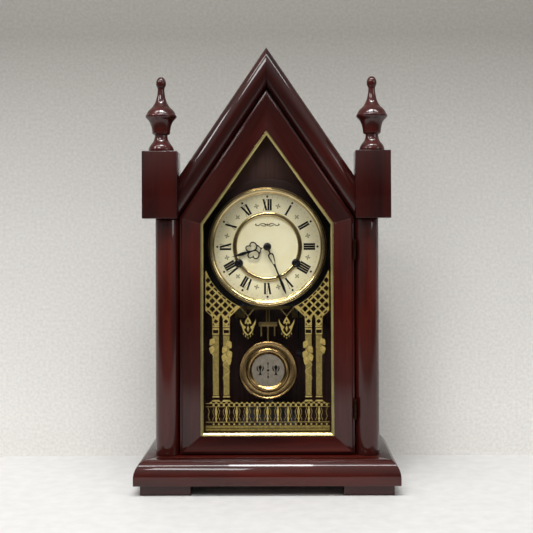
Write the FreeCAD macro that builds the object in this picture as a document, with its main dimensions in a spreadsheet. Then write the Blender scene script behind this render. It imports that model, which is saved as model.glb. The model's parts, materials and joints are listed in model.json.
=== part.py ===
import FreeCAD, Part
import math
import os

import Sketcher

# Mantel clock: a steep-gabled wooden case on a moulded plinth, with a glazed door, two turned
# finials, a striking spring movement, a pendulum and a coil gong.
# Millimetres. +Z up, the front faces -Y, the origin is the bottom centre of the plinth.

V = FreeCAD.Vector
doc = FreeCAD.newDocument("MantelClock")
sheet = doc.addObject("Spreadsheet::Sheet", "dims")

DRIVING = [
    # plinth
    ("base_half", 152.5), ("base_front", 76), ("base_back", 76), ("base_bottom", 12),
    ("base_top", 40), ("moulding_strip", 22), ("round_drop", 17.8), ("round_inset", 9.2),
    ("round_arc", 23.4), ("fillet_step", 1.7), ("fillet_back", 1), ("foot_long", 58),
    ("foot_deep", 30), ("foot_inset", 7),
    # carcass
    ("body_half", 131), ("body_front", 37), ("body_back", 66), ("wall", 10),
    ("roof_apex", 518.4), ("roof_pitch", 55.8), ("roof_thick", 11), ("panel_thick", 4),
    ("jamb_front", 26.5), ("jamb_back", 12), ("jamb_inner", 92),
    # mouldings on the front
    ("column_inner", 103.2), ("column_arc", 14.5), ("column_top", 316),
    ("rake_width", 26.6), ("rake_arc", 14.0),
    # finial blocks and finials
    ("block_outer", 144), ("block_front", 60), ("block_back", 22), ("block_bottom", 316.6),
    ("block_top", 395), ("finial_x", 123.6), ("finial_front", 41), ("tenon_radius", 4),
    ("tenon_deep", 12),
    # door
    ("door_half", 102), ("door_bottom", 41.5), ("door_apex", 467.5), ("door_front", 45),
    ("door_back", 27.5), ("stile_width", 24), ("rail_width", 21), ("rake_frame", 27.5),
    ("opening_apex", 419.9), ("opening_pitch", 54.45),
    ("edge_round", 3), ("face_dip", 1.6), ("sash_width", 3.4), ("sash_front", 44.2),
    ("glass_front", 30.5), ("glass_thick", 2), ("glass_gap", 0.2),
    # hinges
    ("pin_x", 102.6), ("pin_front", 46), ("pin_radius", 0.6), ("pin_fit", 0.05),
    ("knuckle_radius", 1.5), ("knuckle_long", 8), ("hinge_low", 82), ("hinge_high", 268),
    ("leaf_back", 33), ("leaf_thick", 0.5),
    # dial and hands
    ("dial_z", 283.3), ("dial_front", 8.1), ("dial_thick", 0.9), ("dial_radius", 69.8),
    ("bezel_radius", 72), ("surround_radius", 82), ("wind_x", 34.5), ("wind_z", 263.4), ("grommet_radius", 5.4),
    ("minute_angle", 158.5), ("minute_tip", 61.5), ("hour_angle", 254), ("hour_tip", 44.6),
    # movement
    ("plate_front", 16), ("plate_thick", 2), ("rear_plate", 52), ("arbor_fit", 0.05),
    ("barrel_radius", 20), ("swing_z", 256), ("escape_z", 238.5), ("escape_radius", 12),
    # pendulum
    ("pendulum_y", 8), ("bob_z", 132.4), ("bob_radius", 36), ("crossbar_z", 188.5),
    # gong
    ("gong_y", 50), ("gong_z", 127), ("gong_wire", 1.1), ("gong_inner", 9), ("gong_pitch", 4.1),
]
for row, (alias, size) in enumerate(DRIVING, start=1):
    sheet.set("A%d" % row, alias)
    sheet.set("B%d" % row, str(size))
    sheet.setAlias("B%d" % row, alias)
doc.recompute()


def value(text):
    """The number that an expression on the sheet comes to."""
    result = sheet.evalExpression(str(text))
    return float(getattr(result, "Value", result))


def bind(thing, prop, text):
    """Bind one property to an expression on the sheet."""
    thing.setExpression(prop, str(text))


# ---- sketches and the solids made from them ----------------------------------------------

PLANES = {"XY": "XY_Plane", "XZ": "XZ_Plane", "YZ": "YZ_Plane"}


def arc_between(start, end, radius):
    """The arc of a radius from start to end; a positive radius bulges to the right."""
    middle = (start + end) * 0.5
    chord = end - start
    rise = math.sqrt(max(radius * radius - (chord.Length / 2) ** 2, 0))
    side = V(-chord.y, chord.x, 0).normalize()
    centre = middle + side * rise * (1 if radius > 0 else -1)
    circle = Part.Circle(centre, V(0, 0, 1), abs(radius))
    first, last = (start, end) if radius > 0 else (end, start)
    turn = [math.atan2(p.y - centre.y, p.x - centre.x) for p in (first, last)]
    if turn[1] < turn[0]:
        turn[1] += 2 * math.pi
    return Part.ArcOfCircle(circle, turn[0], turn[1])


def draw(sketch, corners):
    """A closed outline. A corner is (across, up), or (across, up, radius) for an arc to the
    next corner; each is a number or an expression on the sheet, and all are constrained."""
    points = [V(value(c[0]), value(c[1]), 0) for c in corners]
    ends = []
    for index, corner in enumerate(corners):
        start, end = points[index], points[(index + 1) % len(points)]
        if len(corner) == 3:
            radius = value(corner[2])
            edge = sketch.addGeometry(arc_between(start, end, radius))
            ends.append((edge, 1, 2) if radius > 0 else (edge, 2, 1))
            number = sketch.addConstraint(Sketcher.Constraint("Radius", edge, abs(radius)))
            bind(sketch, "Constraints[%d]" % number, "abs(%s)" % corner[2])
        else:
            edge = sketch.addGeometry(Part.LineSegment(start, end))
            ends.append((edge, 1, 2))
    for index, corner in enumerate(corners):
        edge, first, last = ends[index]
        following, next_first, next_last = ends[(index + 1) % len(ends)]
        sketch.addConstraint(Sketcher.Constraint("Coincident", edge, last, following, next_first))
        for kind, axis, text in (("DistanceX", -2, corner[0]), ("DistanceY", -1, corner[1])):
            if str(text) == "0":
                sketch.addConstraint(Sketcher.Constraint("PointOnObject", edge, first, axis))
                continue
            number = sketch.addConstraint(
                Sketcher.Constraint(kind, -1, 1, edge, first, value(text)))
            bind(sketch, "Constraints[%d]" % number, text)


def sketched_body(name, plane, corners, offset=0):
    """A body with one sketch on one of its own planes, moved out along the plane's normal."""
    body = doc.addObject("PartDesign::Body", name)
    sketch = body.newObject("Sketcher::SketchObject", name + "_outline")
    for feature in body.Origin.OriginFeatures:
        if feature.Role == PLANES[plane]:
            sketch.AttachmentSupport = [(feature, "")]
    sketch.MapMode = "FlatFace"
    bind(sketch, "AttachmentOffset.Base.z", offset)
    draw(sketch, corners)
    return body, sketch


def slab(name, corners, front, back):
    """An outline seen from the front, (x, z), as thick as from y = front to y = back."""
    body, sketch = sketched_body(name, "XZ", corners, "-(%s)" % back)
    pad = body.newObject("PartDesign::Pad", name + "_pad")
    pad.Profile = sketch
    bind(pad, "Length", "(%s) - (%s)" % (back, front))
    return body


def post(name, corners, low, high):
    """An outline seen from above, (x, y), as tall as from z = low to z = high."""
    body, sketch = sketched_body(name, "XY", corners, low)
    pad = body.newObject("PartDesign::Pad", name + "_pad")
    pad.Profile = sketch
    bind(pad, "Length", "(%s) - (%s)" % (high, low))
    return body


def strip(name, corners, start, length):
    """An outline seen from the side, (y, z), run along x."""
    body, sketch = sketched_body(name, "YZ", corners, start)
    pad = body.newObject("PartDesign::Pad", name + "_pad")
    pad.Profile = sketch
    bind(pad, "Length", length)
    return body


def turned(name, plane, axis, corners, x=0, y=0, z=0):
    """An outline turned once round its own V_Axis or H_Axis, at a place."""
    body, sketch = sketched_body(name, plane, corners)
    turning = body.newObject("PartDesign::Revolution", name + "_turning")
    turning.Profile = sketch
    turning.ReferenceAxis = (sketch, [axis])
    turning.Angle = 360
    place(body, x, y, z)
    return body


def place(thing, x=0, y=0, z=0):
    for letter, text in zip("xyz", (x, y, z)):
        bind(thing, "Placement.Base." + letter, text)


def box(name, x0, x1, y0, y1, z0, z1):
    """A block between two corners."""
    block = doc.addObject("Part::Box", name)
    for prop, low, high in (("Length", x0, x1), ("Width", y0, y1), ("Height", z0, z1)):
        bind(block, prop, "(%s) - (%s)" % (high, low))
    place(block, x0, y0, z0)
    return block


TURNS = {"x": (V(0, 1, 0), 90), "y": (V(1, 0, 0), -90), "z": (V(0, 0, 1), 0)}


def rod(name, axis, x, y, z, radius, length):
    """A cylinder from (x, y, z), along +x, +y or +z."""
    cylinder = doc.addObject("Part::Cylinder", name)
    bind(cylinder, "Radius", radius)
    bind(cylinder, "Height", length)
    cylinder.Placement = FreeCAD.Placement(V(), FreeCAD.Rotation(*TURNS[axis]))
    place(cylinder, x, y, z)
    return cylinder


def cut(name, base, tool):
    result = doc.addObject("Part::Cut", name)
    result.Base, result.Tool = base, tool
    return result


def common(name, base, tool):
    result = doc.addObject("Part::Common", name)
    result.Base, result.Tool = base, tool
    return result


def joined(name, pieces):
    """One solid from several that touch or overlap."""
    result = doc.addObject("Part::MultiFuse", name)
    result.Shapes = pieces
    result.Refine = True
    return result


def group(name, pieces):
    """Separate solids that share a node."""
    result = doc.addObject("Part::Compound", name)
    result.Links = pieces
    return result


def mirrored(name, source):
    """The left-hand twin of a right-hand piece."""
    twin = doc.addObject("Part::Mirroring", name)
    twin.Source = source
    twin.Base = V(0, 0, 0)
    twin.Normal = V(1, 0, 0)
    return twin


nodes = []


def node(piece):
    """Keep a piece as a sub-part; its label names its file."""
    piece.Label = piece.Name
    nodes.append(piece)
    return piece


def pair(right):
    """Keep a right-hand piece and its left-hand twin."""
    node(right)
    node(mirrored(right.Name.replace("_right", "_left"), right))


# ---- plinth: four feet, a board and three mitred quarter-round strips ---------------------

foot_edge = "dims.base_half - dims.foot_inset"
foot_inner = foot_edge + " - dims.foot_long"
feet = []
for side, x0, x1 in (("right", foot_inner, foot_edge),
                     ("left", "-(%s)" % foot_edge, "-(%s)" % foot_inner)):
    front = "dims.foot_inset - dims.base_front"
    back = "dims.base_back - dims.foot_inset"
    feet.append(box("foot_front_" + side, x0, x1, front, front + " + dims.foot_deep",
                    0, "dims.base_bottom"))
    feet.append(box("foot_rear_" + side, x0, x1, back + " - dims.foot_deep", back,
                    0, "dims.base_bottom"))
node(group("feet", feet))

node(box("base_board", "dims.moulding_strip - dims.base_half",
         "dims.base_half - dims.moulding_strip", "dims.moulding_strip - dims.base_front",
         "dims.base_back", "dims.base_bottom", "dims.base_top"))


def plinth_outline(face, sign, inner):
    """The strip's section: a flat face, a quarter round, a small step and a flat top."""
    def inward(amount):
        return "%s + (%s) * (%d)" % (face, amount, sign)
    shoulder = "dims.base_top - dims.fillet_step - dims.round_drop"
    corners = [
        (inner, "dims.base_bottom"),
        (inner, "dims.base_top"),
        (inward("dims.round_inset"), "dims.base_top"),
        (inward("dims.round_inset"), "dims.base_top - dims.fillet_step"),
        (inward("dims.round_inset - dims.fillet_back"), "dims.base_top - dims.fillet_step",
         "%d * dims.round_arc" % sign),
        (face, shoulder),
        (face, "dims.base_bottom"),
    ]
    return corners


front_bar = strip("front_bar", plinth_outline("-dims.base_front", 1,
                                              "dims.moulding_strip - dims.base_front"),
                  "-dims.base_half", "2 * dims.base_half")
front_mitre = post("front_mitre", [
    ("-dims.base_half", "-dims.base_front"), ("dims.base_half", "-dims.base_front"),
    ("dims.base_half - dims.moulding_strip", "dims.moulding_strip - dims.base_front"),
    ("dims.moulding_strip - dims.base_half", "dims.moulding_strip - dims.base_front"),
], 0, "dims.base_top + 5")
node(common("base_moulding_front", front_bar, front_mitre))

side_bar = slab("side_bar", plinth_outline("dims.base_half", -1,
                                           "dims.base_half - dims.moulding_strip"),
                "-dims.base_front", "dims.base_back")
side_mitre = post("side_mitre", [
    ("dims.base_half", "-dims.base_front"), ("dims.base_half", "dims.base_back"),
    ("dims.base_half - dims.moulding_strip", "dims.base_back"),
    ("dims.base_half - dims.moulding_strip", "dims.moulding_strip - dims.base_front"),
], 0, "dims.base_top + 5")
pair(common("base_moulding_right", side_bar, side_mitre))

# ---- carcass: walls, roof boards, jambs and the back ---------------------------------------

slope = "tan(dims.roof_pitch * 1 deg)"


def slope_z(x, inset=0):
    """Height of a line parallel to the roof, inset square to it, at a distance from the middle."""
    return "dims.roof_apex - (%s) / cos(dims.roof_pitch * 1 deg) - (%s) * %s" % (inset, x, slope)


side_inner = "dims.body_half - dims.wall"
pair(slab("side_panel_right", [
    (side_inner, "dims.base_top"), ("dims.body_half", "dims.base_top"),
    ("dims.body_half", slope_z("dims.body_half")),
    (side_inner, slope_z(side_inner)),
], "-dims.body_front", "dims.body_back"))

pair(slab("roof_board_right", [
    (0, slope_z(0, "dims.roof_thick")), (side_inner, slope_z(side_inner, "dims.roof_thick")),
    (side_inner, slope_z(side_inner)), (0, slope_z(0)),
], "-dims.body_front", "dims.body_back"))

pair(box("front_jamb_right", "dims.jamb_inner", side_inner, "-dims.jamb_front",
         "-dims.jamb_back", "dims.base_top", 300))
gable_inset = "dims.rake_width + 1.2 + 10"
pair(slab("gable_jamb_right", [
    (0, slope_z(0, gable_inset)), ("dims.jamb_inner", slope_z("dims.jamb_inner", gable_inset)),
    ("dims.jamb_inner", slope_z("dims.jamb_inner", "dims.roof_thick")),
    (0, slope_z(0, "dims.roof_thick")),
], "-dims.jamb_front", "-dims.jamb_back"))

panel_half = "dims.body_half - 1"
back_outline = [
    ("-(%s)" % panel_half, "dims.base_top"), (panel_half, "dims.base_top"),
    (panel_half, slope_z(panel_half, 1)), (0, slope_z(0, 1)),
    ("-(%s)" % panel_half, slope_z(panel_half, 1)),
]
node(slab("back_panel", back_outline, "dims.body_back", "dims.body_back + dims.panel_thick"))

# ---- half-round columns and gable mouldings ------------------------------------------------

column_corners = [
    ("dims.column_inner", "-dims.jamb_front"), ("dims.column_inner", "-dims.body_front"),
    ("dims.column_inner", "-dims.body_front - 1", "dims.column_arc"),
    ("dims.body_half", "-dims.body_front - 1"), ("dims.body_half", "-dims.body_front"),
    (side_inner, "-dims.body_front"), (side_inner, "-dims.jamb_front"),
]
pair(post("front_column_right", column_corners, "dims.base_top", "dims.column_top"))

# The moulding's section stands on the roof line: z is square to the slope, 0 at the roof.
rake_corners = [
    ("-dims.jamb_front", "-dims.roof_thick"), ("-dims.body_front", "-dims.roof_thick"),
    ("-dims.body_front", 0), ("-dims.body_front - 1", 0, "dims.rake_arc"),
    ("-dims.body_front - 1", "-dims.rake_width"), ("-dims.jamb_front", "-dims.rake_width"),
]


def along_slope(name, corners):
    """A strip laid down the right-hand slope from above the ridge to past the eave."""
    bar = strip(name, corners, -60, 420)
    bar.Placement = FreeCAD.Placement(V(), FreeCAD.Rotation(V(0, 1, 0), 0))
    bind(bar, "Placement.Rotation.Angle", "dims.roof_pitch * 1 deg")
    bind(bar, "Placement.Base.z", "dims.roof_apex")
    return bar


roof_bar = along_slope("roof_bar", rake_corners)
roof_room = box("roof_room", 0, "dims.column_inner", -90, 0, 280, 540)
pair(common("roof_moulding_right", roof_bar, roof_room))

# ---- finial blocks, notched over the carcass, and turned finials ---------------------------

block = box("block", "dims.column_inner", "dims.block_outer", "-dims.block_front",
            "-dims.block_back", "dims.block_bottom", "dims.block_top")
carcass = slab("carcass", [
    ("-dims.body_half", "dims.base_top"), ("dims.body_half", "dims.base_top"),
    ("dims.body_half", slope_z("dims.body_half")), (0, slope_z(0)),
    ("-dims.body_half", slope_z("dims.body_half")),
], "-dims.body_front", "dims.body_back")
tenon_hole = rod("tenon_hole", "z", "dims.finial_x", "-dims.finial_front",
                 "dims.block_top - dims.tenon_deep", "dims.tenon_radius + 0.05",
                 "dims.tenon_deep + 1")
pair(cut("finial_block_right", cut("notched_block", block, carcass), tenon_hole))

# The finial's profile from its foot up: radius and height above the block, arcs by their radius.
finial_corners = [
    (0, "-dims.tenon_deep"), ("dims.tenon_radius", "-dims.tenon_deep"),
    ("dims.tenon_radius", 0), (14.2, 0), (14.6, 2.6, 3.4), (13.4, 8, -15),
    (7.3, 19.5), (9.2, 20.8), (9.9, 22), (11.2, 26), (11.4, 29, -11),
    (17.2, 39.4), (18, 41, 3), (17.6, 43.6), (16.9, 44.4, 24), (9.2, 54.4),
    (7.4, 57, -40), (3.9, 73), (3.9, 74.6), (4.4, 75.6, 7), (5.7, 80.4, 8),
    (0.8, 87.8), (0, 88),
]
node(turned("finial_right", "XZ", "V_Axis", finial_corners,
            "dims.finial_x", "-dims.finial_front", "dims.block_top"))
node(mirrored("finial_left", nodes[-1]))

# ---- door: five mitred frame members, brass sash strip, glass ------------------------------

outer = [("dims.door_half", "dims.door_bottom"),
         ("dims.door_half", "dims.door_apex - dims.door_half * %s" % slope),
         ("0", "dims.door_apex")]
# The opening's top is a little flatter than the roof, so the rakes widen towards the apex.
opening_slope = "tan(dims.opening_pitch * 1 deg)"
inner_half = "dims.door_half - dims.stile_width"
inner = [(inner_half, "dims.door_bottom + dims.rail_width"),
         (inner_half, "dims.opening_apex - (%s) * %s" % (inner_half, opening_slope)),
         ("0", "dims.opening_apex")]


def left_of(corner):
    return ("-(%s)" % corner[0], corner[1])


def frame_section(outer_edge, width, sign):
    """The member's section across its width: a rounded outer edge and a face that falls
    gently towards the sash strip."""
    def across(amount):
        return "%s + (%s) * (%d)" % (outer_edge, amount, sign)
    return [
        (outer_edge, "-dims.door_back"),
        (outer_edge, "-dims.door_front + dims.edge_round", "%d * dims.edge_round" % -sign),
        (across("dims.edge_round"), "-dims.door_front", "%d * 60" % -sign),
        (across(width), "-dims.door_front + dims.face_dip"),
        (across(width), "-dims.door_back"),
    ]


def turned_section(corners):
    """The same section with its two directions swapped, for a strip that runs along x."""
    flipped = [(c[1], c[0]) + tuple(c[2:]) for c in corners]
    return [(c[0], c[1]) + (("-(%s)" % c[2],) if len(c) == 3 else ()) for c in flipped]


stile_bar = post("stile_bar", frame_section("dims.door_half", "dims.stile_width", -1),
                 "dims.door_bottom - 5", "dims.door_apex")
stile_mitre = slab("stile_mitre", [inner[0], outer[0], outer[1], inner[1]],
                   "-dims.door_front - 5", "-dims.door_back + 5")
pair(common("door_stile_right", stile_bar, stile_mitre))

rail_bar = strip("rail_bar", turned_section(frame_section("dims.door_bottom",
                                                          "dims.rail_width", 1)),
                 "-dims.door_half", "2 * dims.door_half")
rail_mitre = slab("rail_mitre", [left_of(outer[0]), outer[0], inner[0], left_of(inner[0])],
                  "-dims.door_front - 5", "-dims.door_back + 5")
node(common("door_bottom_rail", rail_bar, rail_mitre))

door_slope = along_slope("door_slope_bar", turned_section(
    frame_section("(dims.door_apex - dims.roof_apex) * cos(dims.roof_pitch * 1 deg)",
                  "dims.rake_frame", -1)))
rake_mitre = slab("rake_mitre", [inner[1], outer[1], outer[2], inner[2]],
                  "-dims.door_front - 5", "-dims.door_back + 5")
pair(common("door_rake_right", door_slope, rake_mitre))


def pentagon(name, inset, front, back):
    """The door's inner opening, made smaller all round, between two depths."""
    half = "%s - (%s)" % (inner_half, inset)
    top = "dims.opening_apex - (%s) / cos(dims.opening_pitch * 1 deg)" % inset
    foot = (half, "dims.door_bottom + dims.rail_width + (%s)" % inset)
    shoulder = (half, "%s - (%s) * %s" % (top, half, opening_slope))
    return slab(name, [left_of(foot), foot, shoulder, ("0", top), left_of(shoulder)],
                front, back)


node(cut("door_sash", pentagon("sash_outside", 0, "-dims.sash_front", "-dims.glass_front"),
         pentagon("sash_inside", "dims.sash_width", "-dims.sash_front - 5",
                  "-dims.glass_front + 5")))
node(pentagon("door_glass", "dims.glass_gap", "-dims.glass_front",
              "-dims.glass_front + dims.glass_thick"))

# ---- two butt hinges in the groove on the right, and the magnet catch on the left ----------


def knuckle(name, low):
    tube = rod(name, "z", "dims.pin_x", "-dims.pin_front", low, "dims.knuckle_radius",
               "dims.knuckle_long - 0.2")
    bore = rod(name + "_bore", "z", "dims.pin_x", "-dims.pin_front", "%s - 1" % low,
               "dims.pin_radius + dims.pin_fit", "dims.knuckle_long + 2")
    return tube, bore


def leaf_with(name, knuckles, side, bottom):
    """One leaf with its knuckles, bored for the pin."""
    middle = "dims.pin_x"
    x0, x1 = ((middle + " + 0.05", middle + " + 0.05 + dims.leaf_thick") if side > 0 else
              (middle + " - 0.05 - dims.leaf_thick", middle + " - 0.05"))
    pieces = [box("%s_leaf" % name, x0, x1, "-dims.pin_front + dims.knuckle_radius + 0.3",
                  "-dims.leaf_back", bottom, "%s + 3 * dims.knuckle_long" % bottom)]
    bores = []
    for index in knuckles:
        low = "%s + %d * dims.knuckle_long + 0.1" % (bottom, index)
        tube, bore = knuckle("%s_knuckle%d" % (name, index), low)
        pieces.append(tube)
        bores.append(bore)
        pieces.append(box("%s_neck%d" % (name, index), x0, x1,
                          "-dims.pin_front + dims.pin_radius + 0.3",
                          "-dims.pin_front + dims.knuckle_radius + 0.4",
                          low, "%s + dims.knuckle_long - 0.2" % low))
    return cut(name, joined(name + "_solid", pieces), joined(name + "_bores", bores)
               if len(bores) > 1 else bores[0])


case_leaves, door_leaves, pins = [], [], []
for tag, bottom in (("low", "dims.hinge_low"), ("high", "dims.hinge_high")):
    case_leaves.append(leaf_with("case_leaf_" + tag, (0, 2), 1, bottom))
    door_leaves.append(leaf_with("door_leaf_" + tag, (1,), -1, bottom))
    pins.append(rod("pin_" + tag, "z", "dims.pin_x", "-dims.pin_front", bottom,
                    "dims.pin_radius", "3 * dims.knuckle_long"))
node(group("hinge_case_leaves", case_leaves))
node(group("hinge_door_leaves", door_leaves))
node(group("hinge_pins", pins))
node(box("door_catch", "-dims.jamb_inner", "-dims.jamb_inner + 8", "-dims.jamb_front - 0.4",
         "-dims.jamb_front + 10", 165, 195))

# ---- dial, bezel, posts and grommets --------------------------------------------------------

dial_disc = rod("dial_disc", "y", 0, "-dims.dial_front", "dims.dial_z", "dims.dial_radius",
                "dims.dial_thick")
dial_holes = [rod("dial_centre_hole", "y", 0, "-dims.dial_front - 1", "dims.dial_z", 3.6, 4)]
for side, sign in (("left", "-"), ("right", "")):
    dial_holes.append(rod("dial_hole_" + side, "y", sign + "dims.wind_x",
                          "-dims.dial_front - 1", "dims.wind_z", 4.4, 4))
node(cut("dial_plate", dial_disc, joined("dial_holes", dial_holes)))

bezel_corners = [
    (-2, 70), (-2, "dims.bezel_radius"), (-7, "dims.bezel_radius"), (-8.5, 70.6),
    (-12.8, 69.8, 4), (-15.6, 68), (-15.6, 66.4, 8), (-9.4, 64),
    ("-dims.dial_front", 64), ("-dims.dial_front", 70),
]
node(turned("bezel", "YZ", "H_Axis", bezel_corners, 0, 0, "dims.dial_z"))

# A thin black pan behind the bezel closes the gap round the dial; its foot is cut level.
surround_waste = [rod("surround_hole", "y", 0, -3, "dims.dial_z", 64.5, 4),
                  box("surround_foot", -90, 90, -3, 1, "dims.dial_z - 90", "dims.dial_z - 72")]
surround = cut("dial_surround", rod("surround_disc", "y", 0, -2, "dims.dial_z",
                                    "dims.surround_radius", 0.8),
               joined("surround_waste", surround_waste))

# Four posts hold the dial and its bezel off the movement's front plate.
post_back = "dims.plate_front - (dims.dial_thick - dims.dial_front)"
posts = []
for tag, x, z in (("a", 46, 40), ("b", -46, 40), ("c", 46, -34), ("d", -46, -34)):
    posts.append(rod("dial_post_" + tag, "y", x, "dims.dial_thick - dims.dial_front",
                     "dims.dial_z + (%d)" % z, 2, post_back))
node(group("dial_posts", posts))

grommets = [surround]
for side, sign in (("left", "-"), ("right", "")):
    ring = turned("grommet_" + side, "YZ", "H_Axis", [
        (0, 3.4), (0, 4.4), (-1.2 - 0.9, 4.4), (-1.2 - 0.9, "dims.grommet_radius", 2.6),
        (-3.4, 3.4)], sign + "dims.wind_x", "dims.dial_thick - dims.dial_front + 1.2",
        "dims.wind_z")
    grommets.append(ring)
node(group("dial_trim", grommets))

# ---- movement plates, pillars and feet ------------------------------------------------------

plate_corners = [("-25", 206), ("25", 206), ("45", 226), ("58", 243), ("58", 322), ("38", 342),
                 ("-38", 342), ("-58", 322), ("-58", 243), ("-45", 226)]
MINUTE_STUD_Z = "dims.dial_z + 12"
bearings = [("centre", 0, "dims.dial_z", 1.2), ("minute", 0, MINUTE_STUD_Z, 1.0),
            ("anchor", 0, "dims.swing_z", 1.0), ("escape", 0, "dims.escape_z", 0.8),
            ("time", "dims.wind_x", "dims.wind_z", 3), ("strike", "-dims.wind_x",
                                                        "dims.wind_z", 3)]
for name, front, label in (("front", "dims.plate_front", "front_plate"),
                           ("rear", "dims.rear_plate", "back_plate")):
    plate = slab(name + "_sheet", plate_corners, front, "%s + dims.plate_thick" % front)
    holes = [rod("%s_%s_hole" % (name, tag), "y", x, "%s - 1" % front, z,
                 "%s + dims.arbor_fit" % radius, "dims.plate_thick + 2")
             for tag, x, z, radius in bearings]
    node(cut(label, plate, joined(name + "_holes", holes)))

pillars = [rod("pillar_" + tag, "y", x, "dims.plate_front + dims.plate_thick", z, 3.5,
               "dims.rear_plate - dims.plate_front - dims.plate_thick")
           for tag, x, z in (("a", 53, 245), ("b", -53, 245), ("c", 50, 318), ("d", -50, 318))]
node(group("plate_pillars", pillars))

FOOT_PLACES = (("low_right", 36.6, 201, 1), ("low_left", -36.6, 201, 1),
               ("high_right", 30, 346, -1), ("high_left", -30, 346, -1))
movement_feet, screws = [], []
for tag, x, z, way in FOOT_PLACES:
    x0, x1 = x - 6.5, x + 6.5
    toe, heel = sorted((z - 9 * way, z + 12 * way))
    shin_low, shin_high = sorted((z + 12 * way, z + 30 * way))
    step_low, step_high = sorted((z + 10.5 * way, z + 12 * way))
    rear = "dims.rear_plate + dims.plate_thick"
    pieces = [box("toe_" + tag, x0, x1, "dims.body_back - 1.5", "dims.body_back", toe, heel),
              box("step_" + tag, x0, x1, rear, "dims.body_back", step_low, step_high),
              box("shin_" + tag, x0, x1, rear, rear + " + 1.5",
                  min(step_low, shin_low), max(step_high, shin_high)),
              turned("washer_" + tag, "YZ", "H_Axis", [(-2.6, 4.5), (-2.6, 7.5, 1.6),
                                                      (-1.5, 8.5), (-1.5, 4.5)],
                     x, "dims.body_back", z)]
    movement_feet.append(joined("movement_foot_" + tag, pieces))


def screw(name, x, y, z, way, shank):
    """A slotted round-head wood screw driven into a surface along +y (way 1) or -y (-1)."""
    profile = [(-1.8, 0), (-1.8, 1.8, 4.6 * way), (0, 3.9), (0, 1.6), (shank - 2, 1.6),
               (shank, 0.3), (shank, 0)]
    blank = turned(name + "_blank", "YZ", "H_Axis",
                   [(corner[0] * way,) + corner[1:] for corner in profile], x, y, z)
    slot_low, slot_high = sorted((-2.4 * way, -1.0 * way))
    slot = box(name + "_slot", "%s - 0.5" % x, "%s + 0.5" % x, "%s + (%s)" % (y, slot_low),
               "%s + (%s)" % (y, slot_high), "%s - 5" % z, "%s + 5" % z)
    return cut(name, blank, slot)


for tag, x, z, way in FOOT_PLACES:
    screws.append(screw("foot_screw_" + tag, x, "dims.body_back - 1.5", z, 1, 5))
for side in (-1, 1):
    for z in (70, 180, 290):
        screws.append(screw("panel_screw_%s_%d" % ("left" if side < 0 else "right", z),
                            side * 126, "dims.body_back + dims.panel_thick", z, -1, 12))
    screws.append(screw("roof_screw_" + ("left" if side < 0 else "right"), side * 50,
                        "dims.body_back + dims.panel_thick",
                        "dims.roof_apex - 50 * %s - 10" % slope, -1, 12))
node(group("movement_feet", movement_feet))
node(group("wood_screws", screws))

# ---- going parts ----------------------------------------------------------------------------


def wheel_shape(teeth, module, thick, phase):
    """A toothed disc round the y axis from y = 0; phase is a tooth's angle from +x to +z."""
    pitch = math.pi * module
    radius = teeth * module / 2
    levels = [(radius - 1.2 * module, 0.30 * pitch), (radius, 0.21 * pitch),
              (radius + 0.8 * module, 0.09 * pitch)]
    points = []
    for tooth in range(teeth):
        middle = phase + tooth * 2 * math.pi / teeth
        rising = [(r, middle - half / r) for r, half in levels]
        falling = [(r, middle + half / r) for r, half in reversed(levels)]
        points += [V(r * math.cos(a), 0, r * math.sin(a)) for r, a in rising + falling]
    face = Part.Face(Part.makePolygon(points + points[:1]))
    return face.extrude(V(0, thick, 0))


def disc(radius, y0, y1, hole=0):
    """A plain round plate or tube round the y axis."""
    shape = Part.makeCylinder(radius, y1 - y0, V(0, y0, 0), V(0, 1, 0))
    if hole:
        shape = shape.cut(Part.makeCylinder(hole, y1 - y0 + 2, V(0, y0 - 1, 0), V(0, 1, 0)))
    return shape


def going_part(name, shapes, hole=None, x=0, z=0):
    """A toothed or stepped piece of the movement, turned about its own arbor."""
    shape = shapes[0].fuse(shapes[1:]).removeSplitter()
    if hole:
        shape = shape.cut(hole)
    feature = doc.addObject("Part::Feature", name)
    feature.Shape = shape
    feature.Placement = FreeCAD.Placement(V(value(x), 0, value(z)), FreeCAD.Rotation())
    return node(feature)


QUARTER = math.pi / 2
fit = value("dims.arbor_fit")
plate_back = value("dims.rear_plate + dims.plate_thick")
MODULE_ONE, MODULE_TWO = 0.5, 0.48          # cannon to minute wheel, and pinion to hour wheel
CANNON, MINUTE, PINION, HOUR = 12, 36, 10, 40

cannon = wheel_shape(CANNON, MODULE_ONE, 2.4, QUARTER).translate(V(0, 6.4, 0))
going_part("cannon_pinion", [cannon, disc(2.0, -12.2, 6.4), disc(1.5, -14.6, -12.2),
                             disc(1.2, 8.8, plate_back)], z="dims.dial_z")
hour_disc = wheel_shape(HOUR, MODULE_TWO, 1.4, QUARTER).translate(V(0, 3.2, 0))
going_part("hour_wheel", [hour_disc, disc(3.0, -11.2, 3.2)],
           hole=disc(2.0 + fit, -14, 8), z="dims.dial_z")
minute_disc = wheel_shape(MINUTE, MODULE_ONE, 1.4, QUARTER + math.pi / MINUTE)
minute_pinion = wheel_shape(PINION, MODULE_TWO, 2.6, -QUARTER + math.pi / PINION)
going_part("minute_wheel", [minute_disc.translate(V(0, 6.9, 0)),
                            minute_pinion.translate(V(0, 2.6, 0)), disc(1.9, 5.2, 6.9),
                            disc(1.0, 8.3, value("dims.plate_front + dims.plate_thick"))],
           z=MINUTE_STUD_Z)

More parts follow.
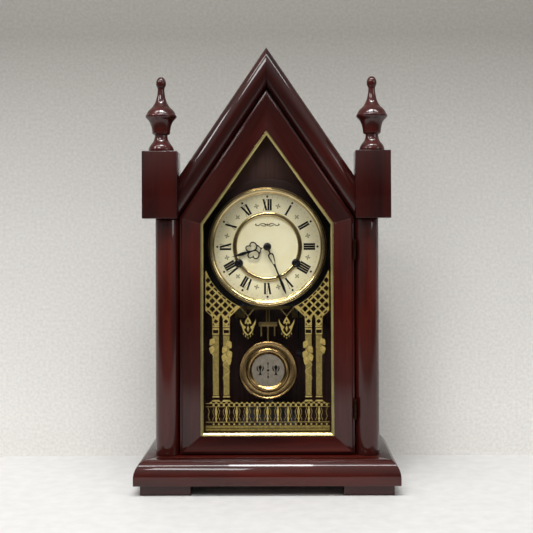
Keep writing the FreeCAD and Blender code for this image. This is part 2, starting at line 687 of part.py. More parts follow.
for side, sign in (("time", 1), ("strike", -1)):
    drum = disc(value("dims.barrel_radius"), 24, 44, 3 + fit)
    great_wheel = wheel_shape(72, 0.6, 2, 0).translate(V(0, 22, 0))
    going_part(side + "_barrel", [drum, great_wheel], hole=disc(3 + fit, 10, 60),
               x="%d * dims.wind_x" % sign, z="dims.wind_z")
    arbor = [disc(3.0, -1, plate_back), disc(7.5, 46, 49.5),
             Part.makeBox(4, 9, 4, V(-2, -10, -2))]
    going_part(side + "_winding_arbor", arbor, x="%d * dims.wind_x" % sign, z="dims.wind_z")

# Recoil escapement: 24 raked teeth, and an anchor whose nibs stand over two gaps at rest.
ESCAPE_TEETH = 24
escape_radius = value("dims.escape_radius")
points = []
for tooth in range(ESCAPE_TEETH):
    middle = QUARTER + tooth * 2 * math.pi / ESCAPE_TEETH
    for radius, angle in ((escape_radius - 2.6, -0.09), (escape_radius, -0.02),
                          (escape_radius, 0.02), (escape_radius - 2.6, 0.05)):
        points.append(V(radius * math.cos(middle + angle), 0, radius * math.sin(middle + angle)))
escape_disc = Part.Face(Part.makePolygon(points + points[:1])).extrude(V(0, 1.4, 0))
going_part("escape_wheel", [escape_disc.translate(V(0, 26, 0)),
                            disc(2.2, 27.4, 34), disc(0.8, 16, plate_back)], z="dims.escape_z")

drop = value("dims.swing_z - dims.escape_z")
nib_angle = math.radians(52.5)
nib_x = (escape_radius + 3.4) * math.sin(nib_angle)
nib_z = (escape_radius + 3.4) * math.cos(nib_angle) - drop
arm_thick = 1.2
anchor_pieces = [disc(1.0, 11.4, plate_back), disc(2.4, 24.6, 29)]
for side in (-1, 1):
    arm = Part.makeBox(math.hypot(nib_x, nib_z), 2.4, arm_thick * 1.6,
                       V(0, 25.6, -arm_thick * 0.8))
    arm.rotate(V(), V(0, 1, 0), -math.degrees(math.atan2(nib_z, nib_x)))
    nib = Part.makeBox(0.7, 2.4, 3.0, V(nib_x - 0.35, 25.6, nib_z - 2.5))
    nib.rotate(V(nib_x, 0, nib_z), V(0, 1, 0), math.degrees(nib_angle))
    if side < 0:
        arm = arm.mirror(V(), V(1, 0, 0))
        nib = nib.mirror(V(), V(1, 0, 0))
    anchor_pieces += [arm, nib]
rod_y = value("dims.pendulum_y")
anchor_pieces.append(Part.makeBox(1.4, 1.2, 24, V(-0.7, 11.4, -23.5)))
for side in (-1, 1):
    anchor_pieces.append(Part.makeBox(1.0, 13 - rod_y, 1.6,
                                      V(side * 3.4 - 0.5, rod_y - 1, -24.2)))
anchor_pieces.append(Part.makeBox(7.8, 1.2, 1.6, V(-3.9, 11.4, -24.2)))
going_part("anchor", anchor_pieces, z="dims.swing_z")

node(rod("suspension_post", "y", 0, 4, "dims.swing_z + 6.2", 2.8, "dims.plate_front - 4"))

# ---- hands ----------------------------------------------------------------------------------


def hand(name, corners, hole, front, back, angle):
    """A flat hand drawn pointing at twelve, then turned clockwise to its hour."""
    body = slab(name + "_blank", corners, front, back)
    eye = rod(name + "_eye", "y", 0, front - 1, 0, hole, back - front + 2)
    pierced = cut(name, body, eye)
    pierced.Placement = FreeCAD.Placement(V(), FreeCAD.Rotation(V(0, 1, 0), 0))
    bind(pierced, "Placement.Rotation.Angle", "%s * 1 deg" % angle)
    bind(pierced, "Placement.Base.z", "dims.dial_z")
    return node(pierced)


hand("minute_hand", [(-3.2, -3.4), (3.2, -3.4), (3.2, 3.4), (1.4, 8), (3.2, 17), (1.1, 25),
                     (1.2, 37), (2.0, 50), (1.2, 57), (0, "dims.minute_tip"), (-1.2, 57),
                     (-2.0, 50), (-1.2, 37), (-1.1, 25), (-3.2, 17), (-1.4, 8), (-3.2, 3.4)],
     1.5, -12.8, -12.2, "dims.minute_angle")
hand("hour_hand", [(-4.4, -4.4), (4.4, -4.4), (4.4, 4.4), (1.8, 9), (5.6, 18), (1.6, 26),
                   (3.2, 33), (0, "dims.hour_tip"), (-3.2, 33), (-1.6, 26), (-5.6, 18),
                   (-1.8, 9), (-4.4, 4.4)],
     3.0, -10.6, -10, "dims.hour_angle")
node(turned("hand_nut", "YZ", "H_Axis", [(-12.8, 1.5), (-12.8, 4.8, 6), (-16, 1.6), (-16, 0),
                                         (-14.6, 0), (-14.6, 1.5)], 0, 0, "dims.dial_z"))

# ---- pendulum -------------------------------------------------------------------------------

rods = [box("pendulum_hook", -2.4, 2.4, "dims.pendulum_y - 0.9", "dims.pendulum_y + 0.9",
            "dims.swing_z - 2", "dims.swing_z + 2"),
        box("crossbar", -11.3, 11.3, "dims.pendulum_y - 1.6", "dims.pendulum_y + 1.6",
            "dims.crossbar_z - 2.45", "dims.crossbar_z + 2.45"),
        rod("centre_rod", "z", 0, "dims.pendulum_y", "dims.bob_z + 32", 1.2,
            "dims.crossbar_z - dims.bob_z - 32")]
for side in (-1, 1):
    tag = "left" if side < 0 else "right"
    rods.append(rod("upper_rod_" + tag, "z", side * 1.6, "dims.pendulum_y", "dims.crossbar_z",
                    0.8, "dims.swing_z - dims.crossbar_z"))
    rods.append(rod("side_rod_" + tag, "z", side * 8.15, "dims.pendulum_y",
                    "dims.crossbar_z - 14.5", 0.9, 14.5))
node(joined("pendulum_rod", rods))

bob = turned("bob_disc", "YZ", "H_Axis", [
    (3.4, 0), (3.2, 30), (1.8, 34.6), (-1.9, "dims.bob_radius"), (-3.1, "dims.bob_radius - 0.8"),
    (-3.6, "dims.bob_radius - 2.2"), (-2.2, 31, 9), (-2.6, 27.4), (-3.6, 25.6), (-2.6, 24),
    (-1.8, 21), (-1.8, 0)], 0, "dims.pendulum_y", "dims.bob_z")
socket = rod("bob_socket", "z", 0, "dims.pendulum_y", "dims.bob_z + 32", 1.2, 20)
node(cut("pendulum_bob", bob, socket))

# ---- strike: hammer, cast gong base and coil ------------------------------------------------

gong_foot = slab("gong_foot", [(-41, "dims.base_top"), (41, "dims.base_top"), (34, 67),
                               (27, 82), (-27, 82), (-34, 67)], 36, 62)
gong_post = box("gong_post", -5, 5, "dims.gong_y - 5", "dims.gong_y + 5", 70, 97)
gong_blank = joined("gong_blank", [gong_foot, gong_post])

turns_out = 13                                  # half turns of the coil, ending at the bottom
wire_radius, pitch = value("dims.gong_wire"), value("dims.gong_pitch")
edges = []
radius = value("dims.gong_inner")
start_z = radius
for turn in range(turns_out):
    up = 1 if turn % 2 == 0 else -1             # the half turn starts at the top, then bottom
    centre_z = start_z - up * radius
    side = 1 if turn % 2 == 0 else -1
    end_z = centre_z - up * radius
    edges.append(Part.Arc(V(0, 0, start_z), V(side * radius, 0, centre_z),
                          V(0, 0, end_z)).toShape())
    start_z = end_z
    radius += pitch / 2
gong_path = Part.Wire(edges)
section = Part.Wire(Part.makeCircle(wire_radius, V(0, 0, value("dims.gong_inner")), V(1, 0, 0)))
coil_shape = gong_path.makePipeShell([section], True, False)
gong_coil = doc.addObject("Part::Feature", "gong_coil")
gong_coil.Shape = coil_shape
gong_coil.Placement = FreeCAD.Placement(V(0, value("dims.gong_y"), value("dims.gong_z")),
                                        FreeCAD.Rotation())
node(gong_coil)
gong_end = value("dims.gong_z") + start_z       # height of the coil's lowest point
node(cut("gong_base", gong_blank, rod("gong_clamp", "x", -6, "dims.gong_y", gong_end,
                                      "dims.gong_wire", 12)))

hammer_arm = rod("hammer_arm", "z", 38, "dims.gong_y - 2", 152, 0.8, 72)
hammer_arbor = rod("hammer_arbor", "y", 38, "dims.gong_y - 6", 224, 2, 8)
hammer_head = rod("hammer_head", "x", 35.6, "dims.gong_y - 2", 148, 4.2, 9)
node(joined("strike_hammer", [hammer_arm, hammer_arbor, hammer_head]))

# ---- check and write ------------------------------------------------------------------------

doc.recompute()
for thing in doc.Objects:
    states = set(thing.State) & {"Invalid", "Error"}
    if states:
        raise RuntimeError("%s is %s" % (thing.Name, states))
for piece in nodes:
    if piece.Shape.isNull() or not piece.Shape.isValid() or not piece.Shape.Solids:
        raise RuntimeError("%s has no valid solid" % piece.Label)
if len(nodes) > 60:
    raise RuntimeError("more than 60 nodes")

os.makedirs("parts", exist_ok=True)
for piece in nodes:
    piece.Shape.exportStep("parts/%s.step" % piece.Label)
    bounds = piece.Shape.BoundBox
    print("%-22s %2d solid  x %7.1f %7.1f  y %6.1f %6.1f  z %6.1f %6.1f  %9.0f mm3" % (
        piece.Label, len(piece.Shape.Solids), bounds.XMin, bounds.XMax, bounds.YMin,
        bounds.YMax, bounds.ZMin, bounds.ZMax, piece.Shape.Volume))
print(len(nodes), "nodes")
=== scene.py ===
import json
import math

import bpy
from mathutils import Matrix, Vector

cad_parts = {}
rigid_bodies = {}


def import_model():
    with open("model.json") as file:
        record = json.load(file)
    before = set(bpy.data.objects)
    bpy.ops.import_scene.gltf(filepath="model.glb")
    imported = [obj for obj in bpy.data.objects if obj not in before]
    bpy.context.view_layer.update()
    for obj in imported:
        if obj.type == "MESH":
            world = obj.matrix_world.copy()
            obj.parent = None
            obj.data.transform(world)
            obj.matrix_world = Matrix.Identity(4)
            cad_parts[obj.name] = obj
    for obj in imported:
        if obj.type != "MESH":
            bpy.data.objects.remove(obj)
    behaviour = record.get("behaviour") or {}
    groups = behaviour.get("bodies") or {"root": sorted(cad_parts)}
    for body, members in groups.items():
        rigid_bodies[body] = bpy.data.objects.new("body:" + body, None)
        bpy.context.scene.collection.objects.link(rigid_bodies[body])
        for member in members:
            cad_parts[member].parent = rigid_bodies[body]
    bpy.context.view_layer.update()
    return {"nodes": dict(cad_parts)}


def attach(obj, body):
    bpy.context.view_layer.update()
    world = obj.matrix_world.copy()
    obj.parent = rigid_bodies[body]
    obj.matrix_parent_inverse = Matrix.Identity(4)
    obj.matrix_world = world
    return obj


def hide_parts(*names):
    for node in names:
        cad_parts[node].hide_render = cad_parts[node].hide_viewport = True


bpy.ops.object.select_all(action="SELECT")
bpy.ops.object.delete()
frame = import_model()

# ---- The studio: a pale floor and wall, soft light and the camera ---------------------------
# The clock stands on a plain matt shelf in front of a painted wall. The light is bright all
# round but dim straight ahead, so that the flat lacquered faces stay dark and the brass shines.

MM = 0.001


def linear(code):
    """An sRGB hex colour as the linear values that a shader takes."""
    parts = [int(code[i:i + 2], 16) / 255 for i in (1, 3, 5)]
    return tuple(p / 12.92 if p <= 0.04045 else ((p + 0.055) / 1.055) ** 2.4
                 for p in parts) + (1.0,)


def add(finish, kind, settings=None, links=None, stops=None):
    """Adds a shader node, with its settings, its links and the stops of a colour ramp."""
    shader = finish.node_tree.nodes.new("ShaderNode" + kind)
    for name, setting in (settings or {}).items():
        if isinstance(name, int) or name in shader.inputs:
            shader.inputs[name].default_value = setting
        else:
            setattr(shader, name, setting)
    for name, source in (links or {}).items():
        finish.node_tree.links.new(source, shader.inputs[name])
    for index, (position, code) in enumerate(stops or []):
        elements = shader.color_ramp.elements
        element = elements[index] if index < 2 else elements.new(position)
        element.position, element.color = position, linear(code)
    return shader


def new_finish(name):
    """An empty node material and its object coordinates."""
    finish = bpy.data.materials.new(name)
    finish.use_nodes = True
    finish.node_tree.nodes.clear()
    return finish, add(finish, "TexCoord").outputs["Object"]


def surface(finish, settings, links=None):
    """Closes a material with its shader and output."""
    shader = add(finish, "BsdfPrincipled", settings, links)
    add(finish, "OutputMaterial", links={"Surface": shader.outputs[0]})
    return finish


floor_paint, place = new_finish("matt_floor")
speckle = add(floor_paint, "TexNoise", {"Scale": 60.0, "Detail": 3.0}, {"Vector": place})
tone = add(floor_paint, "ValToRGB", links={"Fac": speckle.outputs["Fac"]},
           stops=[(0.3, "#D3D2D0"), (0.7, "#DCDBDA")])
# Well in front of the clock the floor darkens, so that polished faces do not mirror it.
forward = add(floor_paint, "SeparateXYZ", links={"Vector": place})
shade = add(floor_paint, "MapRange", {"From Min": -0.36, "From Max": -0.6},
            {"Value": forward.outputs["Y"]})
tone = add(floor_paint, "MixRGB", {"Color2": linear("#5C5A57")},
           {"Fac": shade.outputs[0], "Color1": tone.outputs["Color"]})
surface(floor_paint, {"Roughness": 0.55}, {"Base Color": tone.outputs[0]})

ROOM_SIZE = 14
bpy.ops.mesh.primitive_plane_add(size=ROOM_SIZE, location=(0, 0, 0))
floor = bpy.context.object
floor.name = "floor"
floor.data.materials.append(floor_paint)

wall_paint, place = new_finish("painted_wall")
weave = add(wall_paint, "TexNoise", {"Scale": 260.0, "Detail": 4.0}, {"Vector": place})
# The wall's colour darkens towards the top: painted shade from a shelf above the clock.
upward = add(wall_paint, "SeparateXYZ", links={"Vector": place})
rise = add(wall_paint, "MapRange", {"From Min": -7.0, "From Max": -6.4},
           {"Value": upward.outputs["Y"]})
painted_top_shade = add(wall_paint, "ValToRGB", links={"Fac": rise.outputs[0]},
           stops=[(0.1, "#EDEBE7"), (0.95, "#8C8984"), (0.5, "#CFCDC9")])
speck = add(wall_paint, "ValToRGB", links={"Fac": weave.outputs["Fac"]},
            stops=[(0.3, "#EFEFEF"), (0.7, "#FFFFFF")])
tone = add(wall_paint, "MixRGB", {"blend_type": "MULTIPLY", "Fac": 1.0},
           {"Color1": painted_top_shade.outputs["Color"], "Color2": speck.outputs["Color"]})
nap = add(wall_paint, "Bump", {"Strength": 0.15, "Distance": 1 * MM},
          {"Height": weave.outputs["Fac"]})
matt = add(wall_paint, "BsdfDiffuse", links={"Color": tone.outputs[0],
                                             "Normal": nap.outputs[0]})
# The wall has one painted face; from behind it lets the clock's back be seen.
unseen = add(wall_paint, "BsdfTransparent")
seen_from = add(wall_paint, "NewGeometry")
one_sided = add(wall_paint, "MixShader", links={"Fac": seen_from.outputs["Backfacing"]})
wall_paint.node_tree.links.new(matt.outputs[0], one_sided.inputs[1])
wall_paint.node_tree.links.new(unseen.outputs[0], one_sided.inputs[2])
add(wall_paint, "OutputMaterial", links={"Surface": one_sided.outputs[0]})
WALL_Y = 137 * MM
bpy.ops.mesh.primitive_plane_add(size=ROOM_SIZE, location=(0, WALL_Y, ROOM_SIZE / 2),
                                 rotation=(math.pi / 2, 0, 0))
wall = bpy.context.object
wall.name = "wall"
wall.data.materials.append(wall_paint)

camera_turn = (Matrix.Rotation(math.radians(0.324), 3, "Z")
               @ Matrix.Rotation(math.radians(90.568), 3, "X")
               @ Matrix.Rotation(math.radians(-0.214), 3, "Z"))
bpy.ops.object.camera_add(location=(22.8 * MM, -1187.9 * MM, 292.6 * MM),
                          rotation=camera_turn.to_euler())
camera = bpy.context.object
camera.data.sensor_width = 36
camera.data.lens = 66.09
camera.data.shift_x, camera.data.shift_y = -0.02664, -0.06998
camera.data.clip_start = 0.01
bpy.context.scene.camera = camera

for name, spot, aim, size, depth, power in (
        ("overhead_front", (-0.02, -0.62, 1.5), (0, -0.05, 0.1), 0.42, 0.26, 9),
        ("overhead_tube", (0, -0.64, 1.53), (0, -0.05, 0.1), 2.0, 0.13, 13),
        ("front_fill", (-0.45, -1.3, 1.35), (0, 0, 0.25), 0.6, 0.3, 7),
        ("upper_left", (-0.88, -0.5, 1.02), (0, 0, 0.25), 0.22, 0.22, 2.2),
        ("right_fill", (1.3, -0.9, 0.9), (0, 0, 0.25), 0.5, 0.5, 2.5)):
    bpy.ops.object.light_add(type="AREA", location=spot)
    light = bpy.context.object
    light.name = name
    light.rotation_euler = (Vector(aim) - Vector(spot)).to_track_quat("-Z", "Y").to_euler()
    light.data.shape = "RECTANGLE"
    light.data.size, light.data.size_y, light.data.energy = size, depth, power

room = bpy.data.worlds.new("studio")
room.use_nodes = True
room.node_tree.nodes.clear()
way = add(room, "TexCoord").outputs["Generated"]
height = add(room, "VectorMath", {"operation": "DOT_PRODUCT", 1: (0, 0, 1)}, {0: way})
across = add(room, "VectorMath", {"operation": "DOT_PRODUCT", 1: (1, 0, 0)}, {0: way})
aside = add(room, "Math", {"operation": "ABSOLUTE"}, {0: across.outputs["Value"]})
bright = add(room, "Math", {"operation": "MULTIPLY_ADD", 1: 0.32},
             {0: aside.outputs[0], 2: height.outputs["Value"]})
tone = add(room, "ValToRGB", links={"Fac": bright.outputs[0]},
           stops=[(0.1, "#1E1C1B"), (0.66, "#D8D7D4")])
sky = add(room, "Background", {"Strength": 0.66}, {"Color": tone.outputs["Color"]})
add(room, "OutputWorld", links={"Surface": sky.outputs[0]})
bpy.context.scene.world = room
bpy.context.scene.view_settings.view_transform = "Standard"

# ---- Case timbers -------------------------------------------------------------------------
# Solid hardwood stained a deep red-brown and finished with a thick gloss lacquer. The boards
# and mouldings are planed and moulded straight, glued at mitres, and their arrises eased.

ROOF_PITCH = math.radians(55.8)
GRAIN_TURN = {"upright": (0, -math.pi / 2, 0), "across": (0, 0, 0), "deep": (0, 0, math.pi / 2),
              "right_slope": (0, ROOF_PITCH, 0), "left_slope": (0, math.pi - ROOF_PITCH, 0)}


def lacquered_mahogany(grain, light="#471109", dark="#1A0504"):
    """Stained mahogany under gloss lacquer. Its pores run along the grain, drawn about 2 mm
    wide and 60 mm long, much coarser than real pores, so that they show."""
    finish, place = new_finish("lacquered_mahogany_" + grain)
    along = add(finish, "Mapping", {"vector_type": "TEXTURE", "Rotation": GRAIN_TURN[grain],
                                    "Scale": (60 * MM, 2.2 * MM, 2.2 * MM)}, {"Vector": place})
    broad = add(finish, "Mapping", {"vector_type": "TEXTURE", "Rotation": GRAIN_TURN[grain],
                                    "Scale": (180 * MM, 26 * MM, 26 * MM)}, {"Vector": place})
    pores = add(finish, "TexNoise", {"Scale": 1.0, "Detail": 4.0, "Roughness": 0.6},
                {"Vector": along.outputs[0]})
    bands = add(finish, "TexNoise", {"Scale": 1.0, "Detail": 2.0, "Distortion": 0.6},
                {"Vector": broad.outputs[0]})
    mixed = add(finish, "MixRGB", {"blend_type": "MULTIPLY", "Fac": 0.55},
                {"Color1": bands.outputs["Fac"], "Color2": pores.outputs["Fac"]})
    colour = add(finish, "ValToRGB", links={"Fac": mixed.outputs[0]},
                 stops=[(0.16, dark), (0.5, light)])
    ripple = add(finish, "Bump", {"Strength": 0.06, "Distance": 0.2 * MM},
                 {"Height": pores.outputs["Fac"]})
    return surface(finish, {"Roughness": 0.45, "IOR": 1.5, "Specular IOR Level": 0.1,
                            "Coat Weight": 0.8, "Coat Roughness": 0.05, "Coat IOR": 1.5},
                   {"Base Color": colour.outputs["Color"], "Normal": ripple.outputs[0]})


WOODS = {grain: lacquered_mahogany(grain) for grain in ("upright", "across", "deep")}
# The roof boards, roof mouldings and door rakes take a darker copy of the wood: painted shade, as
# the top of the case gets less light.
for grain in ("left_slope", "right_slope"):
    WOODS[grain] = lacquered_mahogany(grain, "#360D08", "#130303")
# The finial blocks take a darker copy of the wood as well: painted shade on the top of the case.
shaded_block_wood = lacquered_mahogany("upright", "#350C08", "#140404")
shaded_block_wood.name = "lacquered_mahogany_shaded_blocks"


def select_only(piece):
    """Deselects everything else and makes one piece active."""
    bpy.ops.object.select_all(action="DESELECT")
    piece.select_set(True)
    bpy.context.view_layer.objects.active = piece


def finish_piece(piece, finish, body, replaced=()):
    """Gives a piece its material, its body and the parts that it stands for."""
    piece.data.materials.clear()
    piece.data.materials.append(finish)
    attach(piece, body)
    if replaced:
        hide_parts(*replaced)
    return piece


def round_arrises(piece, radius, segments):
    """Rounds over the sharp edges of a piece."""
    select_only(piece)
    bevel = piece.modifiers.new("arris", "BEVEL")
    bevel.width, bevel.segments = radius * MM, segments
    bevel.limit_method, bevel.angle_limit = "ANGLE", math.radians(38)
    bevel.use_clamp_overlap = True
    bpy.ops.object.modifier_apply(modifier="arris")
    bpy.ops.object.shade_smooth_by_angle(angle=math.radians(32))


def eased(node, radius, finish, body="case", segments=3):
    """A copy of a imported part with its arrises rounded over, shown in the part's place."""
    piece = frame["nodes"][node].copy()
    piece.data = piece.data.copy()
    piece.name = node + "_eased"
    bpy.context.collection.objects.link(piece)
    piece.parent = None
    piece.matrix_world = Matrix()
    select_only(piece)
    bpy.ops.mesh.customdata_custom_splitnormals_clear()
    bpy.ops.object.mode_set(mode="EDIT")
    bpy.ops.mesh.select_all(action="SELECT")
    bpy.ops.mesh.remove_doubles(threshold=1e-6)
    bpy.ops.mesh.dissolve_limited(angle_limit=math.radians(0.6))
    bpy.ops.object.mode_set(mode="OBJECT")
    if radius:
        round_arrises(piece, radius, segments)
    return finish_piece(piece, finish, body, [node])


for node in ("feet", "base_board", "base_moulding_front"):
    eased(node, 0.7, WOODS["across"])
for side in ("left", "right"):
    eased("base_moulding_" + side, 0.7, WOODS["deep"])
    eased("side_panel_" + side, 0.8, WOODS["upright"])
    eased("roof_board_" + side, 0.8, WOODS[side + "_slope"])
    eased("front_column_" + side, 1.4, WOODS["upright"])
    eased("roof_moulding_" + side, 0.9, WOODS[side + "_slope"])
    eased("finial_block_" + side, 0.9, shaded_block_wood)

# ---- Inside timbers and the back ----------------------------------------------------------
# The jambs behind the door are softwood with a dark brown wash and no gloss, and the back is
# thin plywood stained on both faces.


def stained_board(name, light, dark, roughness):
    """Dark-stained board with an upright grain and open pores."""
    finish, place = new_finish(name)
    along = add(finish, "Mapping", {"vector_type": "TEXTURE", "Rotation": GRAIN_TURN["upright"],
                                    "Scale": (90 * MM, 3 * MM, 3 * MM)}, {"Vector": place})
    figure = add(finish, "TexNoise", {"Scale": 1.0, "Detail": 5.0, "Distortion": 0.4},
                 {"Vector": along.outputs[0]})
    colour = add(finish, "ValToRGB", links={"Fac": figure.outputs["Fac"]},
                 stops=[(0.3, dark), (0.7, light)])
    raised = add(finish, "Bump", {"Strength": 0.25, "Distance": 0.2 * MM},
                 {"Height": figure.outputs["Fac"]})
    return surface(finish, {"Roughness": roughness, "IOR": 1.45},
                   {"Base Color": colour.outputs["Color"], "Normal": raised.outputs[0]})


def paint_parts(finish, *nodes):
    """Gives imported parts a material; their meshes stay as they are."""
    for node in nodes:
        part = frame["nodes"][node]
        for index in range(len(part.material_slots)):
            part.material_slots[index].material = finish


inner_stain = stained_board("inner_stain", "#3A1A17", "#1E0D0C", 0.6)
back_stain = stained_board("stained_plywood", "#4A2620", "#2E1613", 0.5)
paint_parts(inner_stain, "front_jamb_left", "front_jamb_right", "gable_jamb_left",
            "gable_jamb_right")
paint_parts(back_stain, "back_panel")

# ---- Finials ------------------------------------------------------------------------------
# Turned from the same wood: a flared foot, a waist, a cup with a sharp rim, a domed shoulder
# and a slender neck under a ball. Each is glued by its tenon into the block below.


def turned(name, profile, centre, steps=72, tilt=(0, 0, 0)):
    """A lathe-turned piece. The profile is (radius, height) points in mm, sharp where a
    third item says so; it is spun round its own z axis, tilted, and set at its centre."""
    bpy.ops.object.select_all(action="DESELECT")
    bpy.ops.curve.primitive_bezier_curve_add(location=(0, 0, 0))
    piece = bpy.context.object
    piece.name = name
    outline = piece.data
    outline.resolution_u = 6
    spline = outline.splines[0]
    spline.bezier_points.add(len(profile) - 2)
    for point, given in zip(spline.bezier_points, profile):
        kind = "VECTOR" if len(given) == 3 else "AUTO"
        point.handle_left_type = point.handle_right_type = kind
        point.co = (given[0] * MM, 0, given[1] * MM)
    bpy.ops.object.convert(target="MESH")
    piece = bpy.context.object
    lathe = piece.modifiers.new("lathe", "SCREW")
    lathe.axis, lathe.angle, lathe.steps, lathe.render_steps = "Z", 2 * math.pi, steps, steps
    lathe.use_merge_vertices, lathe.merge_threshold = True, 1e-6
    bpy.ops.object.modifier_apply(modifier="lathe")
    bpy.ops.object.mode_set(mode="EDIT")
    bpy.ops.mesh.select_all(action="SELECT")
    bpy.ops.mesh.remove_doubles(threshold=2e-6)
    bpy.ops.mesh.normals_make_consistent(inside=False)
    bpy.ops.object.mode_set(mode="OBJECT")
    bpy.ops.object.shade_smooth_by_angle(angle=math.radians(40))
    piece.rotation_euler = tilt
    piece.location = Vector(centre) * MM
    bpy.ops.object.transform_apply(location=True, rotation=True, scale=True)
    return piece


FACING = (math.pi / 2, 0, 0)          # turns a shape drawn flat to stand and face the front
FINIAL_PROFILE = [(0, -11, "sharp"), (3.9, -11, "sharp"), (3.9, 0, "sharp"), (14.0, 0, "sharp"),
                  (14.6, 1.0), (14.7, 2.6), (14.2, 4.6), (13.4, 6.6), (11.4, 9.4), (9.4, 12),
                  (8.1, 15), (7.4, 19.4, "sharp"), (9.4, 20.6, "sharp"), (10.2, 21.4),
                  (10.6, 24), (11.3, 28.4), (12.4, 32.4), (14.4, 36.2), (17.2, 39.2, "sharp"),
                  (18.2, 40.8), (18.0, 42.6), (17.2, 43.8, "sharp"), (16.6, 45.2), (15.2, 47.8),
                  (12.6, 50.6), (10.4, 52.6), (8.6, 55.2), (7.0, 58), (5.9, 61), (5.0, 64.5),
                  (4.3, 68.5), (3.9, 73.4, "sharp"), (4.3, 75.4), (5.3, 77.4), (5.8, 80.4),
                  (5.3, 83.6), (3.9, 86.2), (2.0, 87.7), (0, 88)]
BLOCK_TOP = 395
FINIAL_X = 123.6
FINIAL_Y = -41
turned_wood = lacquered_mahogany("upright", "#46110B", "#1E0605")
turned_wood.name = "lacquered_mahogany_turned"
for side, sign in (("left", -1), ("right", 1)):
    finial = turned("finial_%s_turned" % side, FINIAL_PROFILE,
                    (sign * FINIAL_X, FINIAL_Y, BLOCK_TOP))
    finish_piece(finial, turned_wood, "case", ["finial_" + side])

# ---- Door frame ---------------------------------------------------------------------------
# Five members of the same lacquered wood, moulded with a rounded outer edge and a face that
# falls towards the brass. They are glued at mitres and swing together on the right.

for side in ("left", "right"):
    eased("door_stile_" + side, 0.5, WOODS["upright"], "door")
    eased("door_rake_" + side, 0.5, WOODS[side + "_slope"], "door")
eased("door_bottom_rail", 0.5, WOODS["across"], "door")

# ---- Brass sash strip, bezel and the other bright brass ------------------------------------
# Sheet brass, rolled to shape, polished and lacquered; a little duller where it has aged. The
# strip lies round the glass, and the bezel and inner ring are fixed over the dial.


def polished_brass(name, bright, dull, roughness):
    """Lacquered brass with faint patches of tarnish and fine scratches."""
    finish, place = new_finish(name)
    patches = add(finish, "TexNoise", {"Scale": 45.0, "Detail": 3.0}, {"Vector": place})
    scratches = add(finish, "TexNoise", {"Scale": 900.0, "Detail": 2.0}, {"Vector": place})
    colour = add(finish, "ValToRGB", links={"Fac": patches.outputs["Fac"]},
                 stops=[(0.35, dull), (0.65, bright)])
    sheen = add(finish, "MapRange", {"To Min": roughness, "To Max": roughness + 0.04},
                {"Value": scratches.outputs["Fac"]})
    return surface(finish, {"Metallic": 1.0},
                   {"Base Color": colour.outputs["Color"], "Roughness": sheen.outputs[0]})


bright_brass = polished_brass("polished_brass", "#D6C392", "#CCB782", 0.15)
# The sash strip's brass is a darker copy of the polished brass: painted shade for the dull look of
# its sides.
sash_brass = polished_brass("shaded_sash_brass", "#B3A671", "#9E9160", 0.2)
aged_brass = polished_brass("aged_plate_brass", "#9A8456", "#74623C", 0.36)

# The strip's face slopes back towards the glass: its flat front is rebuilt as five mitred
# quads between the outer and inner outlines, and the inner corners are set back.
SASH_FRONT, SASH_INNER, SASH_FOOT, SASH_SLOPE = -44, 76, 64, 2.8
sash = eased("door_sash", 0, sash_brass, "door")
bpy.ops.object.mode_set(mode="EDIT")
bpy.ops.mesh.select_mode(type="FACE")
bpy.ops.mesh.select_all(action="DESELECT")
bpy.ops.object.mode_set(mode="OBJECT")
for face in sash.data.polygons:
    face.select = face.center.y < SASH_FRONT * MM
bpy.ops.object.mode_set(mode="EDIT")
bpy.ops.mesh.delete(type="FACE")
bpy.ops.mesh.select_mode(type="EDGE")
bpy.ops.mesh.select_non_manifold()
bpy.ops.mesh.bridge_edge_loops()
bpy.ops.mesh.select_all(action="SELECT")
bpy.ops.mesh.normals_make_consistent(inside=False)
bpy.ops.object.mode_set(mode="OBJECT")
sash_top = max(vertex.co.z for vertex in sash.data.vertices)
for vertex in sash.data.vertices:
    inside = (abs(vertex.co.x) < SASH_INNER * MM
              and SASH_FOOT * MM < vertex.co.z < sash_top - 1 * MM)
    if vertex.co.y < SASH_FRONT * MM and inside:
        vertex.co.y += SASH_SLOPE * MM
round_arrises(sash, 0.6, 3)

DIAL_Z = 283.3
BEZEL_PROFILE = [(70, 2, "sharp"), (72, 2, "sharp"), (72, 10.2, "sharp"), (71.8, 10.9),
                 (71.3, 11.3), (70.8, 11.1), (70.6, 10.8, "sharp"), (70.4, 11.2, "sharp"),
                 (70.0, 12.2), (69.4, 12.7), (68.8, 12.6), (68.4, 12.1, "sharp"),
                 (68.1, 12.3, "sharp"), (67.2, 12.0), (66.0, 11.2),
                 (65.3, 10.6, "sharp"), (65.1, 10.3, "sharp"), (64.4, 10.0), (64, 9.4),
                 (64, 8.15, "sharp"), (70, 8.15, "sharp"), (70, 2, "sharp")]
bezel = turned("bezel_spun", BEZEL_PROFILE, (0, 0, DIAL_Z), 128, FACING)
finish_piece(bezel, bright_brass, "case", ["bezel"])

